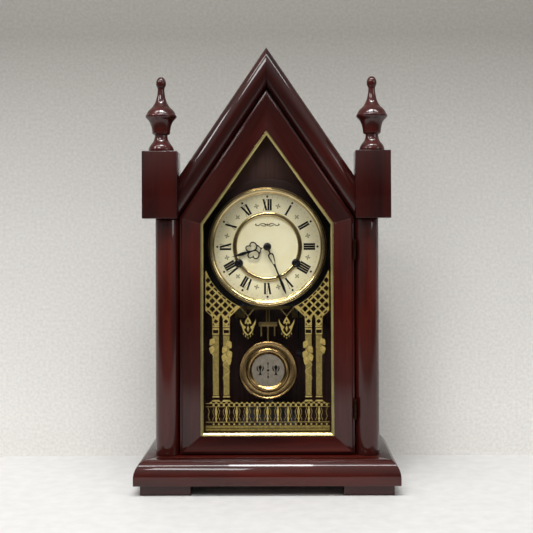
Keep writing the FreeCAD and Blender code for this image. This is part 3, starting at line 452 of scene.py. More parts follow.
RING_PROFILE = [(36.6, 7.2, "sharp"), (36.6, 8.3), (37.4, 9.5), (39.3, 10.1), (41.2, 9.5),
                (42, 8.3), (42, 7.2, "sharp"), (36.6, 7.2, "sharp")]
ring = turned("inner_ring_spun", RING_PROFILE, (0, 0, DIAL_Z), 128, FACING)
WIND_X, WIND_Z, GROMMET_REACH = 34.5, 263.4, 5.2
for sign in (-1, 1):
    bpy.ops.object.select_all(action="DESELECT")
    bpy.ops.mesh.primitive_cylinder_add(vertices=48, radius=GROMMET_REACH * MM, depth=30 * MM,
                                        location=(sign * WIND_X * MM, -8 * MM, WIND_Z * MM),
                                        rotation=FACING)
    drill = bpy.context.object
    select_only(ring)
    pierce = ring.modifiers.new("key_hole", "BOOLEAN")
    pierce.operation, pierce.object, pierce.solver = "DIFFERENCE", drill, "EXACT"
    bpy.ops.object.modifier_apply(modifier="key_hole")
    bpy.data.objects.remove(drill, do_unlink=True)
select_only(ring)
bpy.ops.object.shade_smooth_by_angle(angle=math.radians(40))
finish_piece(ring, bright_brass, "case")

# ---- Dial ---------------------------------------------------------------------------------
# A sheet-metal dial in cream enamel, printed in black with radial Roman hours, a dot at each
# hour, fine minute ticks and small four-petalled sprigs between the hours.

cream, place = new_finish("cream_dial_enamel")
foxing = add(cream, "TexNoise", {"Scale": 55.0, "Detail": 4.0}, {"Vector": place})
from_centre = add(cream, "Mapping", {"Location": (0, 0, -DIAL_Z * MM), "Scale": (1, 0, 1)},
                  {"Vector": place})
reach = add(cream, "VectorMath", {"operation": "LENGTH"}, {0: from_centre.outputs[0]})
rim_age = add(cream, "MapRange", {"From Min": 0.048, "From Max": 0.066, "To Max": 0.5},
              {"Value": reach.outputs["Value"]})
blotch = add(cream, "Math", {"operation": "MULTIPLY"},
             {0: rim_age.outputs[0], 1: foxing.outputs["Fac"]})
base = add(cream, "ValToRGB", links={"Fac": foxing.outputs["Fac"]},
           stops=[(0.3, "#F2E8BA"), (0.62, "#FAF2CC")])
colour = add(cream, "MixRGB", {"Color2": linear("#7E7450")},
             {"Fac": blotch.outputs[0], "Color1": base.outputs["Color"]})
surface(cream, {"Roughness": 0.42, "IOR": 1.5}, {"Base Color": colour.outputs[0]})
paint_parts(cream, "dial_plate")


def flecked(name, fineness, dark, light, settings, detail=2.0):
    """An even finish whose colour is faintly flecked between a dark and a light tone."""
    finish, place = new_finish(name)
    flecks = add(finish, "TexNoise", {"Scale": fineness, "Detail": detail}, {"Vector": place})
    colour = add(finish, "ValToRGB", links={"Fac": flecks.outputs["Fac"]},
                 stops=[(0.3, dark), (0.7, light)])
    return surface(finish, settings, {"Base Color": colour.outputs["Color"]})


ink = flecked("black_dial_ink", 700.0, "#050506", "#100F0F",
              {"Roughness": 0.5, "Specular IOR Level": 0.2})
pale_ink = flecked("grey_dial_ink", 500.0, "#7C7557", "#989070", {"Roughness": 0.6})


def circle(x, y, radius, count=20):
    """The outline of a disc."""
    return [(x + radius * math.cos(2 * math.pi * i / count),
             y + radius * math.sin(2 * math.pi * i / count)) for i in range(count)]


def turned_about(points, angle, x=0.0, y=0.0):
    """Points turned clockwise by an angle in degrees and moved."""
    c, s = math.cos(math.radians(angle)), math.sin(math.radians(angle))
    return [(x + px * c + py * s, y - px * s + py * c) + tuple(rest) for px, py, *rest in points]


def cut_flat(name, outlines, thick, centre, round_over=0.0):
    """A flat piece cut from closed outlines in mm, seen from the front. An outline whose
    points carry a third item is a smooth one; an outline inside another is a hole."""
    bpy.ops.object.select_all(action="DESELECT")
    bpy.ops.curve.primitive_bezier_curve_add(location=(0, 0, 0))
    piece = bpy.context.object
    piece.name = name
    sheet = piece.data
    sheet.splines.clear()
    sheet.dimensions, sheet.fill_mode = "2D", "BOTH"
    sheet.extrude, sheet.bevel_depth = thick * MM / 2 - round_over * MM, round_over * MM
    sheet.resolution_u = 5
    for points in outlines:
        smooth = len(points[0]) == 3
        spline = sheet.splines.new("BEZIER" if smooth else "POLY")
        if smooth:
            spline.bezier_points.add(len(points) - 1)
            for point, given in zip(spline.bezier_points, points):
                point.co = (given[0] * MM, given[1] * MM, 0)
                kind = "AUTO" if given[2] else "VECTOR"
                point.handle_left_type = point.handle_right_type = kind
        else:
            spline.points.add(len(points) - 1)
            for point, given in zip(spline.points, points):
                point.co = (given[0] * MM, given[1] * MM, 0, 1)
        spline.use_cyclic_u = True
    bpy.ops.object.convert(target="MESH")
    piece = bpy.context.object
    bpy.ops.object.mode_set(mode="EDIT")
    bpy.ops.mesh.select_all(action="SELECT")
    bpy.ops.mesh.remove_doubles(threshold=1e-6)
    bpy.ops.mesh.normals_make_consistent(inside=False)
    bpy.ops.object.mode_set(mode="OBJECT")
    piece.rotation_euler = FACING
    piece.location = Vector(centre) * MM
    bpy.ops.object.transform_apply(location=True, rotation=True, scale=True)
    return piece


NUMERAL_FOOT, NUMERAL_HEAD = 43.7, 57.4
SERIF, HAIR, STEM = 0.5, 0.45, 2.35


def stroke(x0, x1, width):
    """One stroke of a numeral from its foot at x0 to its head at x1, with its serifs."""
    foot, head, half = NUMERAL_FOOT, NUMERAL_HEAD, width / 2
    flare = half + 0.4
    return [(x0 - flare, foot), (x0 + flare, foot), (x0 + flare, foot + SERIF * 0.5),
            (x0 + half, foot + SERIF), (x1 + half, head - SERIF), (x1 + flare, head - SERIF * 0.5),
            (x1 + flare, head), (x1 - flare, head), (x1 - flare, head - SERIF * 0.5),
            (x1 - half, head - SERIF), (x0 - half, foot + SERIF), (x0 - flare, foot + SERIF * 0.5)]


def numeral(letters):
    """The outlines of one Roman numeral, centred on the upright."""
    widths = {"I": 2.8, "V": 6.0, "X": 5.6}
    x = -sum(widths[letter] for letter in letters) / 2
    shapes = []
    for letter in letters:
        middle = x + widths[letter] / 2
        if letter == "I":
            shapes.append(stroke(middle, middle, STEM))
        elif letter == "V":
            shapes.append(stroke(middle + 0.3, middle - 1.9, STEM))
            shapes.append(stroke(middle + 0.3, middle + 2.1, HAIR))
        else:
            shapes.append(stroke(middle + 1.7, middle - 1.7, STEM))
            shapes.append(stroke(middle - 1.7, middle + 1.7, HAIR))
        x += widths[letter]
    return shapes


DIAL_FACE = -8.1
INK_THICK, FINE_INK_THICK = 0.12, 0.08
HOURS = ("XII", "I", "II", "III", "IIII", "V", "VI", "VII", "VIII", "IX", "X", "XI")
for hour, letters in enumerate(HOURS):
    for index, shape in enumerate(numeral(letters)):
        mark = cut_flat("hour_%d_%d" % (hour, index), [turned_about(shape, 30 * hour)], INK_THICK,
                        (0, DIAL_FACE - 0.05 - 0.02 * index, DIAL_Z))
        finish_piece(mark, ink, "case")

DOT_RADIUS, SPRIG_RADIUS = 60.4, 50.4
dots = [turned_about(circle(0, DOT_RADIUS, 1.3), 30 * hour) for hour in range(12)]
finish_piece(cut_flat("hour_dots", dots, INK_THICK, (0, DIAL_FACE - 0.05, DIAL_Z)), ink,
             "case")
ticks = [turned_about([(-0.2, 59.6), (0.2, 59.6), (0.2, 61.3), (-0.2, 61.3)], 6 * minute)
         for minute in range(60) if minute % 5]
finish_piece(cut_flat("minute_ticks", ticks, FINE_INK_THICK, (0, DIAL_FACE - 0.04, DIAL_Z)),
             pale_ink, "case")

sprigs = []
for hour in range(12):
    at = turned_about([(0, SPRIG_RADIUS)], 30 * hour + 15)[0]
    for quarter in range(4):
        petal = [(0, 0.4, 1), (0.75, 1.7, 1), (0, 3.1, 1), (-0.75, 1.7, 1)]
        sprigs.append(turned_about(petal, 90 * quarter + 30 * hour + 15, *at))
    sprigs.append(circle(at[0], at[1], 0.32, 10))
finish_piece(cut_flat("dial_sprigs", sprigs, FINE_INK_THICK, (0, DIAL_FACE - 0.04, DIAL_Z)),
             pale_ink, "case")

# A small scroll where makers sign their dials, with no letters in it.
scroll = []
for sign in (-1, 1):
    scroll.append([(sign * x, y, 1) for x, y in
                   ((1.2, -0.2), (4, 1.2), (7.6, 1.1), (10.4, -0.9), (13.4, -0.8), (14.8, 0.7),
                    (13.6, 1.8), (12.8, 0.8), (13.6, 0.7), (13.0, 0.0), (10.8, 0.0),
                    (7.8, 1.9), (4, 2.2), (1.2, 0.6))])
    scroll.append([(sign * x, y, 1) for x, y in
                   ((1.4, -0.8), (3.6, -1.6), (6.4, -1.0), (8.0, 0.2), (6.2, -0.2), (3.6, -0.8))])
scroll.append([(0, 2.4), (1.0, 0.3), (0, -1.6), (-1.0, 0.3)])
finish_piece(cut_flat("dial_scroll", scroll, 0.1, (0, DIAL_FACE - 0.05, DIAL_Z + 26)), ink,
             "case")

# ---- Hands --------------------------------------------------------------------------------
# Stamped steel in gloss black. The hour hand has a collar, two open kidney-shaped loops and a
# spear; the minute hand has a long open drop, a small cross-bar and a widening blade.

black_gloss = flecked("black_gloss_enamel", 800.0, "#050506", "#0D0C0D",
                      {"Roughness": 0.35, "Specular IOR Level": 0.3, "Coat Weight": 0.25,
                       "Coat Roughness": 0.08})

HOUR_ANGLE, MINUTE_ANGLE = 254, 158.5
HOUR_HAND_Y, MINUTE_HAND_Y = -10.3, -12.5


def smooth(points, sign=1):
    """Marks points as a smooth outline, mirrored where sign is -1."""
    return [(sign * x, y, 1) for x, y in points]


def loop_band(points, width, sign=1):
    """The two outlines of a closed band drawn along a loop of points."""
    outer, inner = [], []
    for index, (x, y) in enumerate(points):
        ax, ay = points[index - 1]
        bx, by = points[(index + 1) % len(points)]
        length = math.hypot(bx - ax, by - ay)
        nx, ny = (by - ay) / length * width / 2, -(bx - ax) / length * width / 2
        outer.append((x + nx, y + ny))
        inner.append((x - nx, y - ny))
    return [smooth(outer, sign), smooth(inner, sign)]


hour_hub = smooth([(-2.9, 0), (-2.0, -2.2), (0, -3.0), (2.0, -2.2), (2.9, 0), (2.0, 2.4), (0.65, 4),
                   (0.6, 7.2)])
hour_hub += [(4.2, 9.8, 0), (5.2, 10.4, 1), (5.1, 11.4, 1), (4.2, 11.6, 1), (3.6, 10.8, 1),
             (0, 8.5, 0), (-3.6, 10.8, 1), (-4.2, 11.6, 1), (-5.1, 11.4, 1), (-5.2, 10.4, 1),
             (-4.2, 9.8, 0), (-0.6, 7.2, 1), (-0.65, 4, 1), (-2.0, 2.4, 1)]
hour_spear = [(0, 21.6, 0), (0.9, 23.4, 1), (1.0, 25.2, 1), (1.9, 29.6, 1), (1.7, 33, 1),
              (0.9, 38.4, 1), (0, 44.6, 0), (-0.9, 38.4, 1), (-1.7, 33, 1), (-1.9, 29.6, 1),
              (-1.0, 25.2, 1), (-0.9, 23.4, 1)]
KIDNEY = [(0.45, 15.4), (1.7, 13.2), (4.1, 12.1), (6.9, 12.4), (9.3, 14.2), (10.1, 16.7),
          (9.0, 18.9), (7.4, 19.9), (7.0, 21.4), (7.4, 23.3), (5.9, 25.1), (3.4, 25.2),
          (1.3, 23.8), (0.45, 21.4)]
hour_parts = [[hour_hub], [hour_spear]]
for sign in (-1, 1):
    hour_parts.append(loop_band(KIDNEY, 1.25, sign))
    hour_parts.append([circle(sign * 6.5, 19.4, 0.8, 16)])
for index, outlines in enumerate(hour_parts):
    piece = cut_flat("hour_hand_cut_%d" % index,
                     [turned_about(outline, HOUR_ANGLE) for outline in outlines], 0.58,
                     (0, HOUR_HAND_Y, DIAL_Z), 0.12)
    finish_piece(piece, black_gloss, "hour_hand",
                 ["hour_hand"] if index == 0 else ())

minute_outline = [(-2.2, -2.4, 1), (0, -3.2, 1), (2.2, -2.4, 1), (2.8, 0, 1), (1.4, 3.4, 1),
                  (0.7, 6.4, 1), (0.9, 8.6, 1), (2.7, 9.6, 1), (3.4, 12.2, 1), (2.6, 17, 1),
                  (1.1, 24, 1), (0.9, 37.2, 0), (3.4, 37.5, 0), (3.4, 38.7, 0), (0.9, 39, 0),
                  (1.5, 46, 1), (1.7, 50, 1), (1.2, 56, 1), (0, 61.5, 0), (-1.2, 56, 1),
                  (-1.7, 50, 1), (-1.5, 46, 1), (-0.9, 39, 0), (-3.4, 38.7, 0), (-3.4, 37.5, 0),
                  (-0.9, 37.2, 0), (-1.1, 24, 1), (-2.6, 17, 1), (-3.4, 12.2, 1),
                  (-2.7, 9.6, 1), (-0.9, 8.6, 1), (-0.7, 6.4, 1), (-1.4, 3.4, 1), (-2.8, 0, 1)]
minute_hole = smooth([(0, 9.8), (1.6, 10.7), (2.2, 12.6), (1.5, 17), (0, 22.6), (-1.5, 17),
                      (-2.2, 12.6), (-1.6, 10.7)])
minute = cut_flat("minute_hand_cut", [turned_about(o, MINUTE_ANGLE)
                                      for o in (minute_outline, minute_hole)], 0.6,
                  (0, MINUTE_HAND_Y, DIAL_Z), 0.15)
finish_piece(minute, black_gloss, "minute_hand", ["minute_hand"])

nut = turned("hand_nut_domed", [(1.4, 12.8, "sharp"), (4.8, 12.8, "sharp"), (4.8, 13.2),
                                (4.3, 14.6), (3.1, 15.6), (1.6, 16.0), (0, 16.0)],
             (0, 0, DIAL_Z), 40, FACING)
finish_piece(nut, black_gloss, "minute_hand", ["hand_nut"])

# ---- Winding holes ------------------------------------------------------------------------
# Domed black grommets line the two key holes; the square ends of the arbors sit inside them.

GROMMET_PROFILE = [(2.9, 7.2, "sharp"), (5.3, 7.2, "sharp"), (5.3, 8.0), (4.9, 9.2), (4.0, 10.2),
                   (3.0, 10.4), (2.3, 9.9), (2.1, 9.0), (2.2, 8.2), (2.9, 7.2, "sharp")]
for side, sign in (("left", -1), ("right", 1)):
    grommet = turned("grommet_%s_domed" % side, GROMMET_PROFILE, (sign * WIND_X, 0, WIND_Z), 40,
                     FACING)
    finish_piece(grommet, black_gloss, "case",
                 ["dial_trim"] if side == "left" else ())

# The pan behind the bezel is sheet steel in the same black, with a rolled rim and a level foot.
PAN_FOOT = 72
pan = turned("dial_pan", [(64.5, 1.2, "sharp"), (81, 1.2, "sharp"), (81.7, 1.4), (82, 1.8),
                          (81.7, 2.0), (64.5, 2.0, "sharp"), (64.5, 1.2, "sharp")],
             (0, 0, DIAL_Z), 128, FACING)
select_only(pan)
bpy.ops.object.mode_set(mode="EDIT")
bpy.ops.mesh.select_all(action="SELECT")
bpy.ops.mesh.bisect(plane_co=(0, 0, (DIAL_Z - PAN_FOOT) * MM), plane_no=(0, 0, 1),
                    use_fill=True, clear_inner=True)
bpy.ops.object.mode_set(mode="OBJECT")
finish_piece(pan, black_gloss, "case")

# ---- Glass and its gold print ---------------------------------------------------------------
# Thin sheet glass with an ornament screen-printed in gold on its face: lattice spandrels under
# the dial, four vine-wound columns, two pendants and a balustrade between beaded rails.

glass, place = new_finish("clear_sheet_glass")
ripple = add(glass, "TexNoise", {"Scale": 12.0}, {"Vector": place})
# The glass is clear low down; above the dial its colour carries a faint brown painted reflection of
# the room.
upward = add(glass, "SeparateXYZ", links={"Vector": place})
reflection_rise = add(glass, "MapRange", {"From Min": 0.33, "From Max": 0.375},
            {"Value": upward.outputs["Z"]})
painted_reflection = add(glass, "Math", {"operation": "MULTIPLY"},
             {0: reflection_rise.outputs[0], 1: ripple.outputs["Fac"]})
glass_and_reflection_tint = add(glass, "ValToRGB", links={"Fac": painted_reflection.outputs[0]},
           stops=[(0.0, "#161413"), (0.6, "#C09488")])
wave = add(glass, "Bump", {"Strength": 0.02, "Distance": 1 * MM}, {"Height": ripple.outputs["Fac"]})
surface(glass, {"Roughness": 0.03, "IOR": 1.45, "Alpha": 0.05},
        {"Base Color": glass_and_reflection_tint.outputs["Color"], "Normal": wave.outputs[0]})
paint_parts(glass, "door_glass")

gold_print = flecked("gold_screen_print", 350.0, "#94803F", "#B8A25E",
                     {"Metallic": 0.2, "Roughness": 0.45})

PRINT_Y = -30.62
PRINT_THICK = 0.1


def print_gold(name, outlines, lift=0.0):
    """One printed piece, on the face of the glass; lift keeps crossing prints apart."""
    piece = cut_flat(name, outlines, PRINT_THICK, (0, PRINT_Y - lift, 0))
    return finish_piece(piece, gold_print, "door")


def both_sides(outlines):
    """The outlines and their mirror images on the left."""
    return outlines + [[(-p[0],) + tuple(p[1:]) for p in outline] for outline in outlines]


# Lattice spandrels: a field under the bezel's curve, pierced by diamonds in offset rows that
# are cut off at its margin.
SPANDREL_ARC = 77.5
PITCH, RISE, DIAMOND, NECK_DIAMOND = 10.1, 9.7, 3.65, 2.9
arc = [(SPANDREL_ARC * math.sin(math.radians(a)), DIAL_Z - SPANDREL_ARC * math.cos(math.radians(a)))
       for a in range(24, 70, 3)]
spandrel = arc + [(73, 254), (73, 208), (65.2, 200.6), (64.9, 190.4), (57.2, 190.4),
                  (57.0, 199), (55.6, 202.6), (53.9, 202.6), (52.6, 199), (52.4, 190.4),
                  (44.7, 190.4), (44.3, 200.6)]
field = [(x, z - 0.7) for x, z in arc[1:]]
field += [(72.5, 252), (72.5, 208.3), (64.9, 201.1), (58, 201.1), (56.2, 203.4), (53.3, 203.4),
          (51.5, 201.1), (45.1, 201.1), (35.4, 211.8)]


def clipped(subject, corners):
    """The part of an outline that lies inside a convex shape with anticlockwise corners."""
    kept = subject
    for (x0, y0), (x1, y1) in zip(corners, corners[1:] + corners[:1]):
        source, kept = kept, []

        def side(point):
            return (x1 - x0) * (point[1] - y0) - (y1 - y0) * (point[0] - x0)

        for start, end in zip(source, source[1:] + source[:1]):
            before, after = side(start), side(end)
            if before >= 0:
                kept.append(start)
            if (before >= 0) != (after >= 0):
                share = before / (before - after)
                kept.append((start[0] + (end[0] - start[0]) * share,
                             start[1] + (end[1] - start[1]) * share))
    return kept


def area(outline):
    """How much an outline encloses, in square mm."""
    return abs(sum(x0 * y1 - x1 * y0 for (x0, y0), (x1, y1)
                   in zip(outline, outline[1:] + outline[:1]))) / 2


diamonds = []
for row in range(12):
    for column in range(9):
        x = 70.0 - PITCH / 2 * (row % 2) - PITCH * column
        z = 205 + RISE / 2 * row
        hole = clipped(field, [(x, z - DIAMOND), (x + DIAMOND, z), (x, z + DIAMOND),
                               (x - DIAMOND, z)])
        if len(hole) > 2 and area(hole) > 3:
            diamonds.append(hole)
# Each neck has one whole diamond and, on its outer or inner margin, two halves.
for x, lean in ((61.05, 1), (48.55, -1)):
    margin, middle = x + 3.3 * lean, x - 0.3 * lean
    diamonds.append([(middle, 195.3 - NECK_DIAMOND), (middle + NECK_DIAMOND, 195.3),
                     (middle, 195.3 + NECK_DIAMOND), (middle - NECK_DIAMOND, 195.3)])
    diamonds.append([(margin, 203.0 - 0.6), (margin, 198.2), (margin - 2.3 * lean, 200.3)])
    diamonds.append([(margin, 193.6), (margin, 191.1), (margin - 2.2 * lean, 191.1)])
print_gold("spandrel_print", both_sides([spandrel] + diamonds))

# Columns: a capital of bars and a dark neck, a plain shaft, and a flared foot on the rail.
COLUMN_XS = (48.5, 61.0)
shafts, capitals = [], []
for x in COLUMN_XS:
    capitals += [[(x - 4.1, 190.0), (x + 4.1, 190.0), (x + 4.1, 188.4), (x - 4.1, 188.4)],
                 [(x - 3.9, 187.5), (x + 3.9, 187.5), (x + 3.9, 185.3), (x - 3.9, 185.3)],
                 [(x - 3.9, 181.2), (x + 3.9, 181.2), (x + 3.9, 179.6), (x - 3.9, 179.6)],
                 [(x - 3.9, 185.3), (x - 3.2, 185.3), (x - 3.2, 181.2), (x - 3.9, 181.2)],
                 [(x + 3.2, 185.3), (x + 3.9, 185.3), (x + 3.9, 181.2), (x + 3.2, 181.2)],
                 [(x - 4.0, 107.2), (x + 4.0, 107.2), (x + 4.0, 105.6), (x - 4.0, 105.6)],
                 [(x - 3.7, 102.6), (x + 3.7, 102.6), (x + 4.6, 101.4), (x + 6.0, 100.6),
                  (x - 6.0, 100.6), (x - 4.6, 101.4)]]
    shafts += [[(x - 3.7, 178.7), (x + 3.7, 178.7), (x + 3.4, 108), (x - 3.4, 108)]]
print_gold("capital_print", both_sides(capitals))
shaft_print = cut_flat("shaft_print", both_sides(shafts), PRINT_THICK, (0, PRINT_Y, 0))
dull_gold = flecked("dull_gold_print", 350.0, "#716230", "#8F7D41",
                    {"Metallic": 0.2, "Roughness": 0.5})
finish_piece(shaft_print, dull_gold, "door")

# Vine: pointed leaves in pairs down the upper shaft, with a tendril winding below them.
LEAF = [(0, -4.6, 0), (1.5, -3.0, 1), (3.3, -1.4, 1), (3.2, 1.0, 1), (2.4, 2.0, 1), (1.6, 4.0, 1),
        (0, 5.6, 0), (-1.6, 4.0, 1), (-2.4, 2.0, 1), (-3.2, 1.0, 1), (-3.3, -1.4, 1),
        (-1.5, -3.0, 1)]
LEAVES = ((65.2, 171.6, 150), (65.6, 162.4, 172), (45.2, 168.6, 205), (50.4, 162.6, 150),
          (44.6, 157.0, 200), (51.0, 153.2, 165), (45.6, 149.4, 190))
for index, (x, z, turn) in enumerate(LEAVES):
    leaf = [(px * 0.92, pz, kind) for px, pz, kind in LEAF]
    print_gold("vine_leaf_%d" % index, both_sides([turned_about(leaf, turn, x, z)]),
               0.06 + 0.03 * (index % 3))


def ribbon(points, width):
    """A thin band along a line of points."""
    left, right = [], []
    for index, (x, z) in enumerate(points):
        ax, az = points[max(index - 1, 0)]
        bx, bz = points[min(index + 1, len(points) - 1)]
        length = math.hypot(bx - ax, bz - az)
        nx, nz = -(bz - az) / length * width / 2, (bx - ax) / length * width / 2
        left.append((x + nx, z + nz))
        right.append((x - nx, z - nz))
    return left + right[::-1]


tendril = [(48.6 + 3.9 * math.sin(0.42 * step), 148 - 1.05 * step) for step in range(22)]
outer_tendril = [(64.4 + 1.2 * math.sin(0.8 * step), 160 - 1.1 * step) for step in range(8)]
print_gold("vine_tendrils", both_sides([ribbon(tendril, 0.7), ribbon(outer_tendril, 0.6)]), 0.12)

# Pendants: hung by a printed V of lines from the bezel, with horns, a drop and five tassels.
PENDANT_X = 22.8
horn = [(2.6, 188.2, 1), (5.0, 190.4, 1), (7.4, 193.8, 1), (9.3, 198.2, 0), (8.9, 193.2, 1),
        (7.0, 188.4, 1), (5.8, 184.6, 1), (3.4, 180.6, 1), (0, 178.0, 0), (0, 179.8, 0),
        (2.7, 182.4, 1), (4.4, 185.8, 1)]
pendant = [[(PENDANT_X + sign * x, z, kind) for x, z, kind in horn] for sign in (-1, 1)]
pendant += [[(PENDANT_X + px, 194.6 + pz, kind) for px, pz, kind in
             ((0, 6.6, 0), (1.7, 3.6, 1), (3.4, 0.6, 1), (3.2, -2.2, 1), (1.4, -1.4, 1),
              (0, -3.4, 1), (-1.4, -1.4, 1), (-3.2, -2.2, 1), (-3.4, 0.6, 1),
              (-1.7, 3.6, 1))],
            [(PENDANT_X + px, 194.4 + pz) for px, pz in ((0, 3.4), (1.1, 1), (0, -0.9), (-1.1, 1))],
            [(PENDANT_X, 190.2), (PENDANT_X + 1.5, 186.6), (PENDANT_X, 182.6),
             (PENDANT_X - 1.5, 186.6)]]
for dx, top in ((-5.6, 182.4), (-2.9, 179.6), (0, 177.4), (2.9, 179.6), (5.6, 182.4)):
    x = PENDANT_X + dx
    pendant.append([(x, top), (x + 0.5, top - 1.9), (x, top - 3.4), (x - 0.5, top - 1.9)])
cords = [ribbon([(PENDANT_X, 201.4), (PENDANT_X + 9.4, 212.6)], 0.35),
         ribbon([(PENDANT_X, 201.4), (PENDANT_X - 6.6, 209.4)], 0.35)]
print_gold("pendant_print", both_sides(pendant))
print_gold("pendant_cords", both_sides(cords), 0.06)

# Balustrade: eleven turned balusters with a fine outline round each, between beaded rails.
PRINT_HALF = 73.0
BALUSTER_PITCH = 12.15
BALUSTER = [(0.7, 94.3), (0.8, 92.6), (1.2, 91.2), (1.6, 89.4), (1.5, 87.4), (1.0, 85.0),
            (0.6, 82.8), (0.7, 82.0), (1.3, 81.0), (1.3, 80.0), (0.8, 79.2), (0.6, 76.9)]
SHELL = [(2.5, 93.4), (2.7, 92.2), (3.7, 90.2), (3.9, 88.2), (3.2, 85.6), (2.4, 83.6),
         (2.8, 82.2), (3.8, 80.6), (4.1, 78.4)]
posts = []
for count in range(-5, 6):
    x = count * BALUSTER_PITCH
    posts.append([(x + w, z) for w, z in BALUSTER] + [(x - w, z) for w, z in BALUSTER[::-1]])
    for sign in (-1, 1):
        posts.append(ribbon([(x + sign * w, z) for w, z in SHELL], 0.42))
for sign in (-1, 1):
    posts.append(ribbon([(sign * (6 * BALUSTER_PITCH - w), z) for w, z in SHELL], 0.42))
print_gold("baluster_print", posts)


def bar(low, high):
    """A band across the whole print."""
    return [(-PRINT_HALF, low), (PRINT_HALF, low), (PRINT_HALF, high), (-PRINT_HALF, high)]


# Each rail is a row of round beads beside thin lines; the top one wears a row of small arches.
beads = []
BEAD_PITCH = BALUSTER_PITCH / 2
for count in range(-11, 12):
    x = (count + 0.5) * BEAD_PITCH
    if abs(x) < PRINT_HALF - 1.6:
        beads.append(circle(x, 96.6, 1.4, 12))
        beads.append(circle(x, 74.0, 1.1, 12))
for count in range(-12, 13):
    x = count * BEAD_PITCH
    if abs(x) < PRINT_HALF - 1.5:
        beads.append([(x - 1.6, 98.9), (x + 1.6, 98.9), (x + 1.0, 100.0), (x - 1.0, 100.0)])
print_gold("bead_print", beads)
print_gold("rail_print", [bar(94.4, 94.9), bar(98.2, 98.7), bar(76.2, 76.8)])
step_print = cut_flat("rail_step_print", [bar(69.6, 72.4), bar(66.4, 68.8)], PRINT_THICK,
                      (0, PRINT_Y, 0))
finish_piece(step_print, dull_gold, "door")

# ---- Pendulum -------------------------------------------------------------------------------
# Pressed brass: a roll round the rim, a flat ring, a raised inner roll and a silvered paper
# disc printed in black. It hangs on brass rods from a cross-bar.

BOB_Z, PENDULUM_Y = 132.4, 8
warm_brass = polished_brass("rolled_bob_brass", "#B79A6A", "#AB8E5E", 0.2)
BOB_PROFILE = [(0, -3.3, "sharp"), (30, -3.1), (34.4, -1.8), (35.9, 0.2), (35.9, 1.2),
               (35.3, 2.4), (34.4, 3.0), (33.4, 2.8), (32.6, 2.1, "sharp"), (30.4, 1.8),
               (27.6, 1.95), (26.6, 2.2, "sharp"), (25.7, 3.1), (24.3, 3.6), (22.8, 3.2),
               (21.4, 2.2), (20.6, 1.6), (19.9, 1.1, "sharp"), (0, 1.1, "sharp")]
bob = turned("pendulum_bob_pressed", BOB_PROFILE, (0, PENDULUM_Y, BOB_Z), 112, FACING)
finish_piece(bob, warm_brass, "pendulum", ["pendulum_bob"])

silvered = flecked("silvered_paper", 260.0, "#807768", "#938A7A", {"Roughness": 0.45}, 3.0)
disc = cut_flat("bob_disc_paper", [circle(0, 0, 19.8, 80)], 0.3, (0, PENDULUM_Y - 1.25, BOB_Z))
finish_piece(disc, silvered, "pendulum")

marks = [circle(0, 0, 1.5, 8)]
for sign in (-1, 1):
    marks.append([(0, sign * 2.0, 0), (0.6, sign * 4.2, 1), (0.25, sign * 6, 1), (0.9, sign * 8, 1),
                  (0, sign * 10.4, 0), (-0.9, sign * 8, 1), (-0.25, sign * 6, 1),
                  (-0.6, sign * 4.2, 1)])
    # A small fleur stands on each side of the rating mark.
    x = sign * 9.6
    marks.append([(x, 6.8, 0), (x + 2.1, 3.8, 1), (x + 1.1, 1.2, 1), (x + 1.0, -3.6, 1),
                  (x + 2.2, -5.8, 0), (x - 2.2, -5.8, 0), (x - 1.0, -3.6, 1),
                  (x - 1.1, 1.2, 1), (x - 2.1, 3.8, 1)])
    for lean in (-1, 1):
        marks.append([(x + lean * 1.6, -2.2, 0), (x + lean * 3.9, 0.4, 1),
                      (x + lean * 4.4, 3.4, 1), (x + lean * 3.2, 5.2, 1),
                      (x + lean * 3.1, 2.9, 1), (x + lean * 2.4, 0.9, 1)])
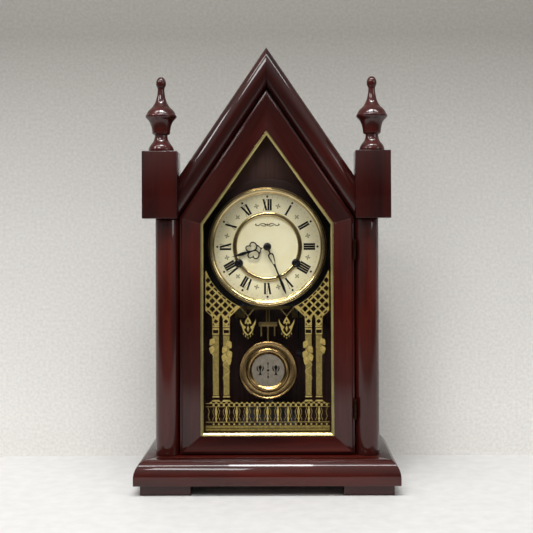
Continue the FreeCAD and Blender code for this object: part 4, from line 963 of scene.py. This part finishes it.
rating = cut_flat("bob_rating_marks", marks, 0.1, (0, PENDULUM_Y - 1.45, BOB_Z))
finish_piece(rating, ink, "pendulum")
eased("pendulum_rod", 0.3, aged_brass, "pendulum", 2)

# ---- Gong -----------------------------------------------------------------------------------
# A flat coil of blued spring steel, clamped in a grey-painted casting on the case floor.

blued = flecked("blued_spring_steel", 120.0, "#23232B", "#3A3840",
                {"Metallic": 0.8, "Roughness": 0.35})
paint_parts(blued, "gong_coil")

grey_paint, place = new_finish("grey_painted_casting")
orange_peel = add(grey_paint, "TexNoise", {"Scale": 420.0, "Detail": 3.0}, {"Vector": place})
colour = add(grey_paint, "ValToRGB", links={"Fac": orange_peel.outputs["Fac"]},
             stops=[(0.3, "#4E484E"), (0.7, "#5C565B")])
skin = add(grey_paint, "Bump", {"Strength": 0.4, "Distance": 0.3 * MM},
           {"Height": orange_peel.outputs["Fac"]})
surface(grey_paint, {"Roughness": 0.55}, {"Base Color": colour.outputs["Color"],
                                          "Normal": skin.outputs[0]})
eased("gong_base", 1.2, grey_paint, "case")

# ---- Movement -------------------------------------------------------------------------------
# Rolled brass for the plates, wheels and feet, turned steel for the pillars and posts, and
# blued steel for the winding arbors and the hammer.

steel = flecked("turned_steel", 600.0, "#77736C", "#99958C", {"Metallic": 1.0, "Roughness": 0.34})
paint_parts(aged_brass, "movement_feet", "front_plate", "back_plate", "suspension_post",
            "escape_wheel", "hour_wheel", "minute_wheel", "time_barrel", "strike_barrel")
paint_parts(steel, "plate_pillars", "dial_posts", "anchor", "cannon_pinion", "wood_screws")
paint_parts(blued, "strike_hammer", "time_winding_arbor", "strike_winding_arbor")

# ---- Hinges and catch -----------------------------------------------------------------------
# Two small bronzed butt hinges sit in the groove on the right; a magnet catches the left stile.

bronzed = flecked("bronzed_steel", 300.0, "#1E120C", "#3A2618",
                  {"Metallic": 0.9, "Roughness": 0.4})
paint_parts(bronzed, "hinge_case_leaves", "hinge_door_leaves", "hinge_pins")
paint_parts(black_gloss, "door_catch")
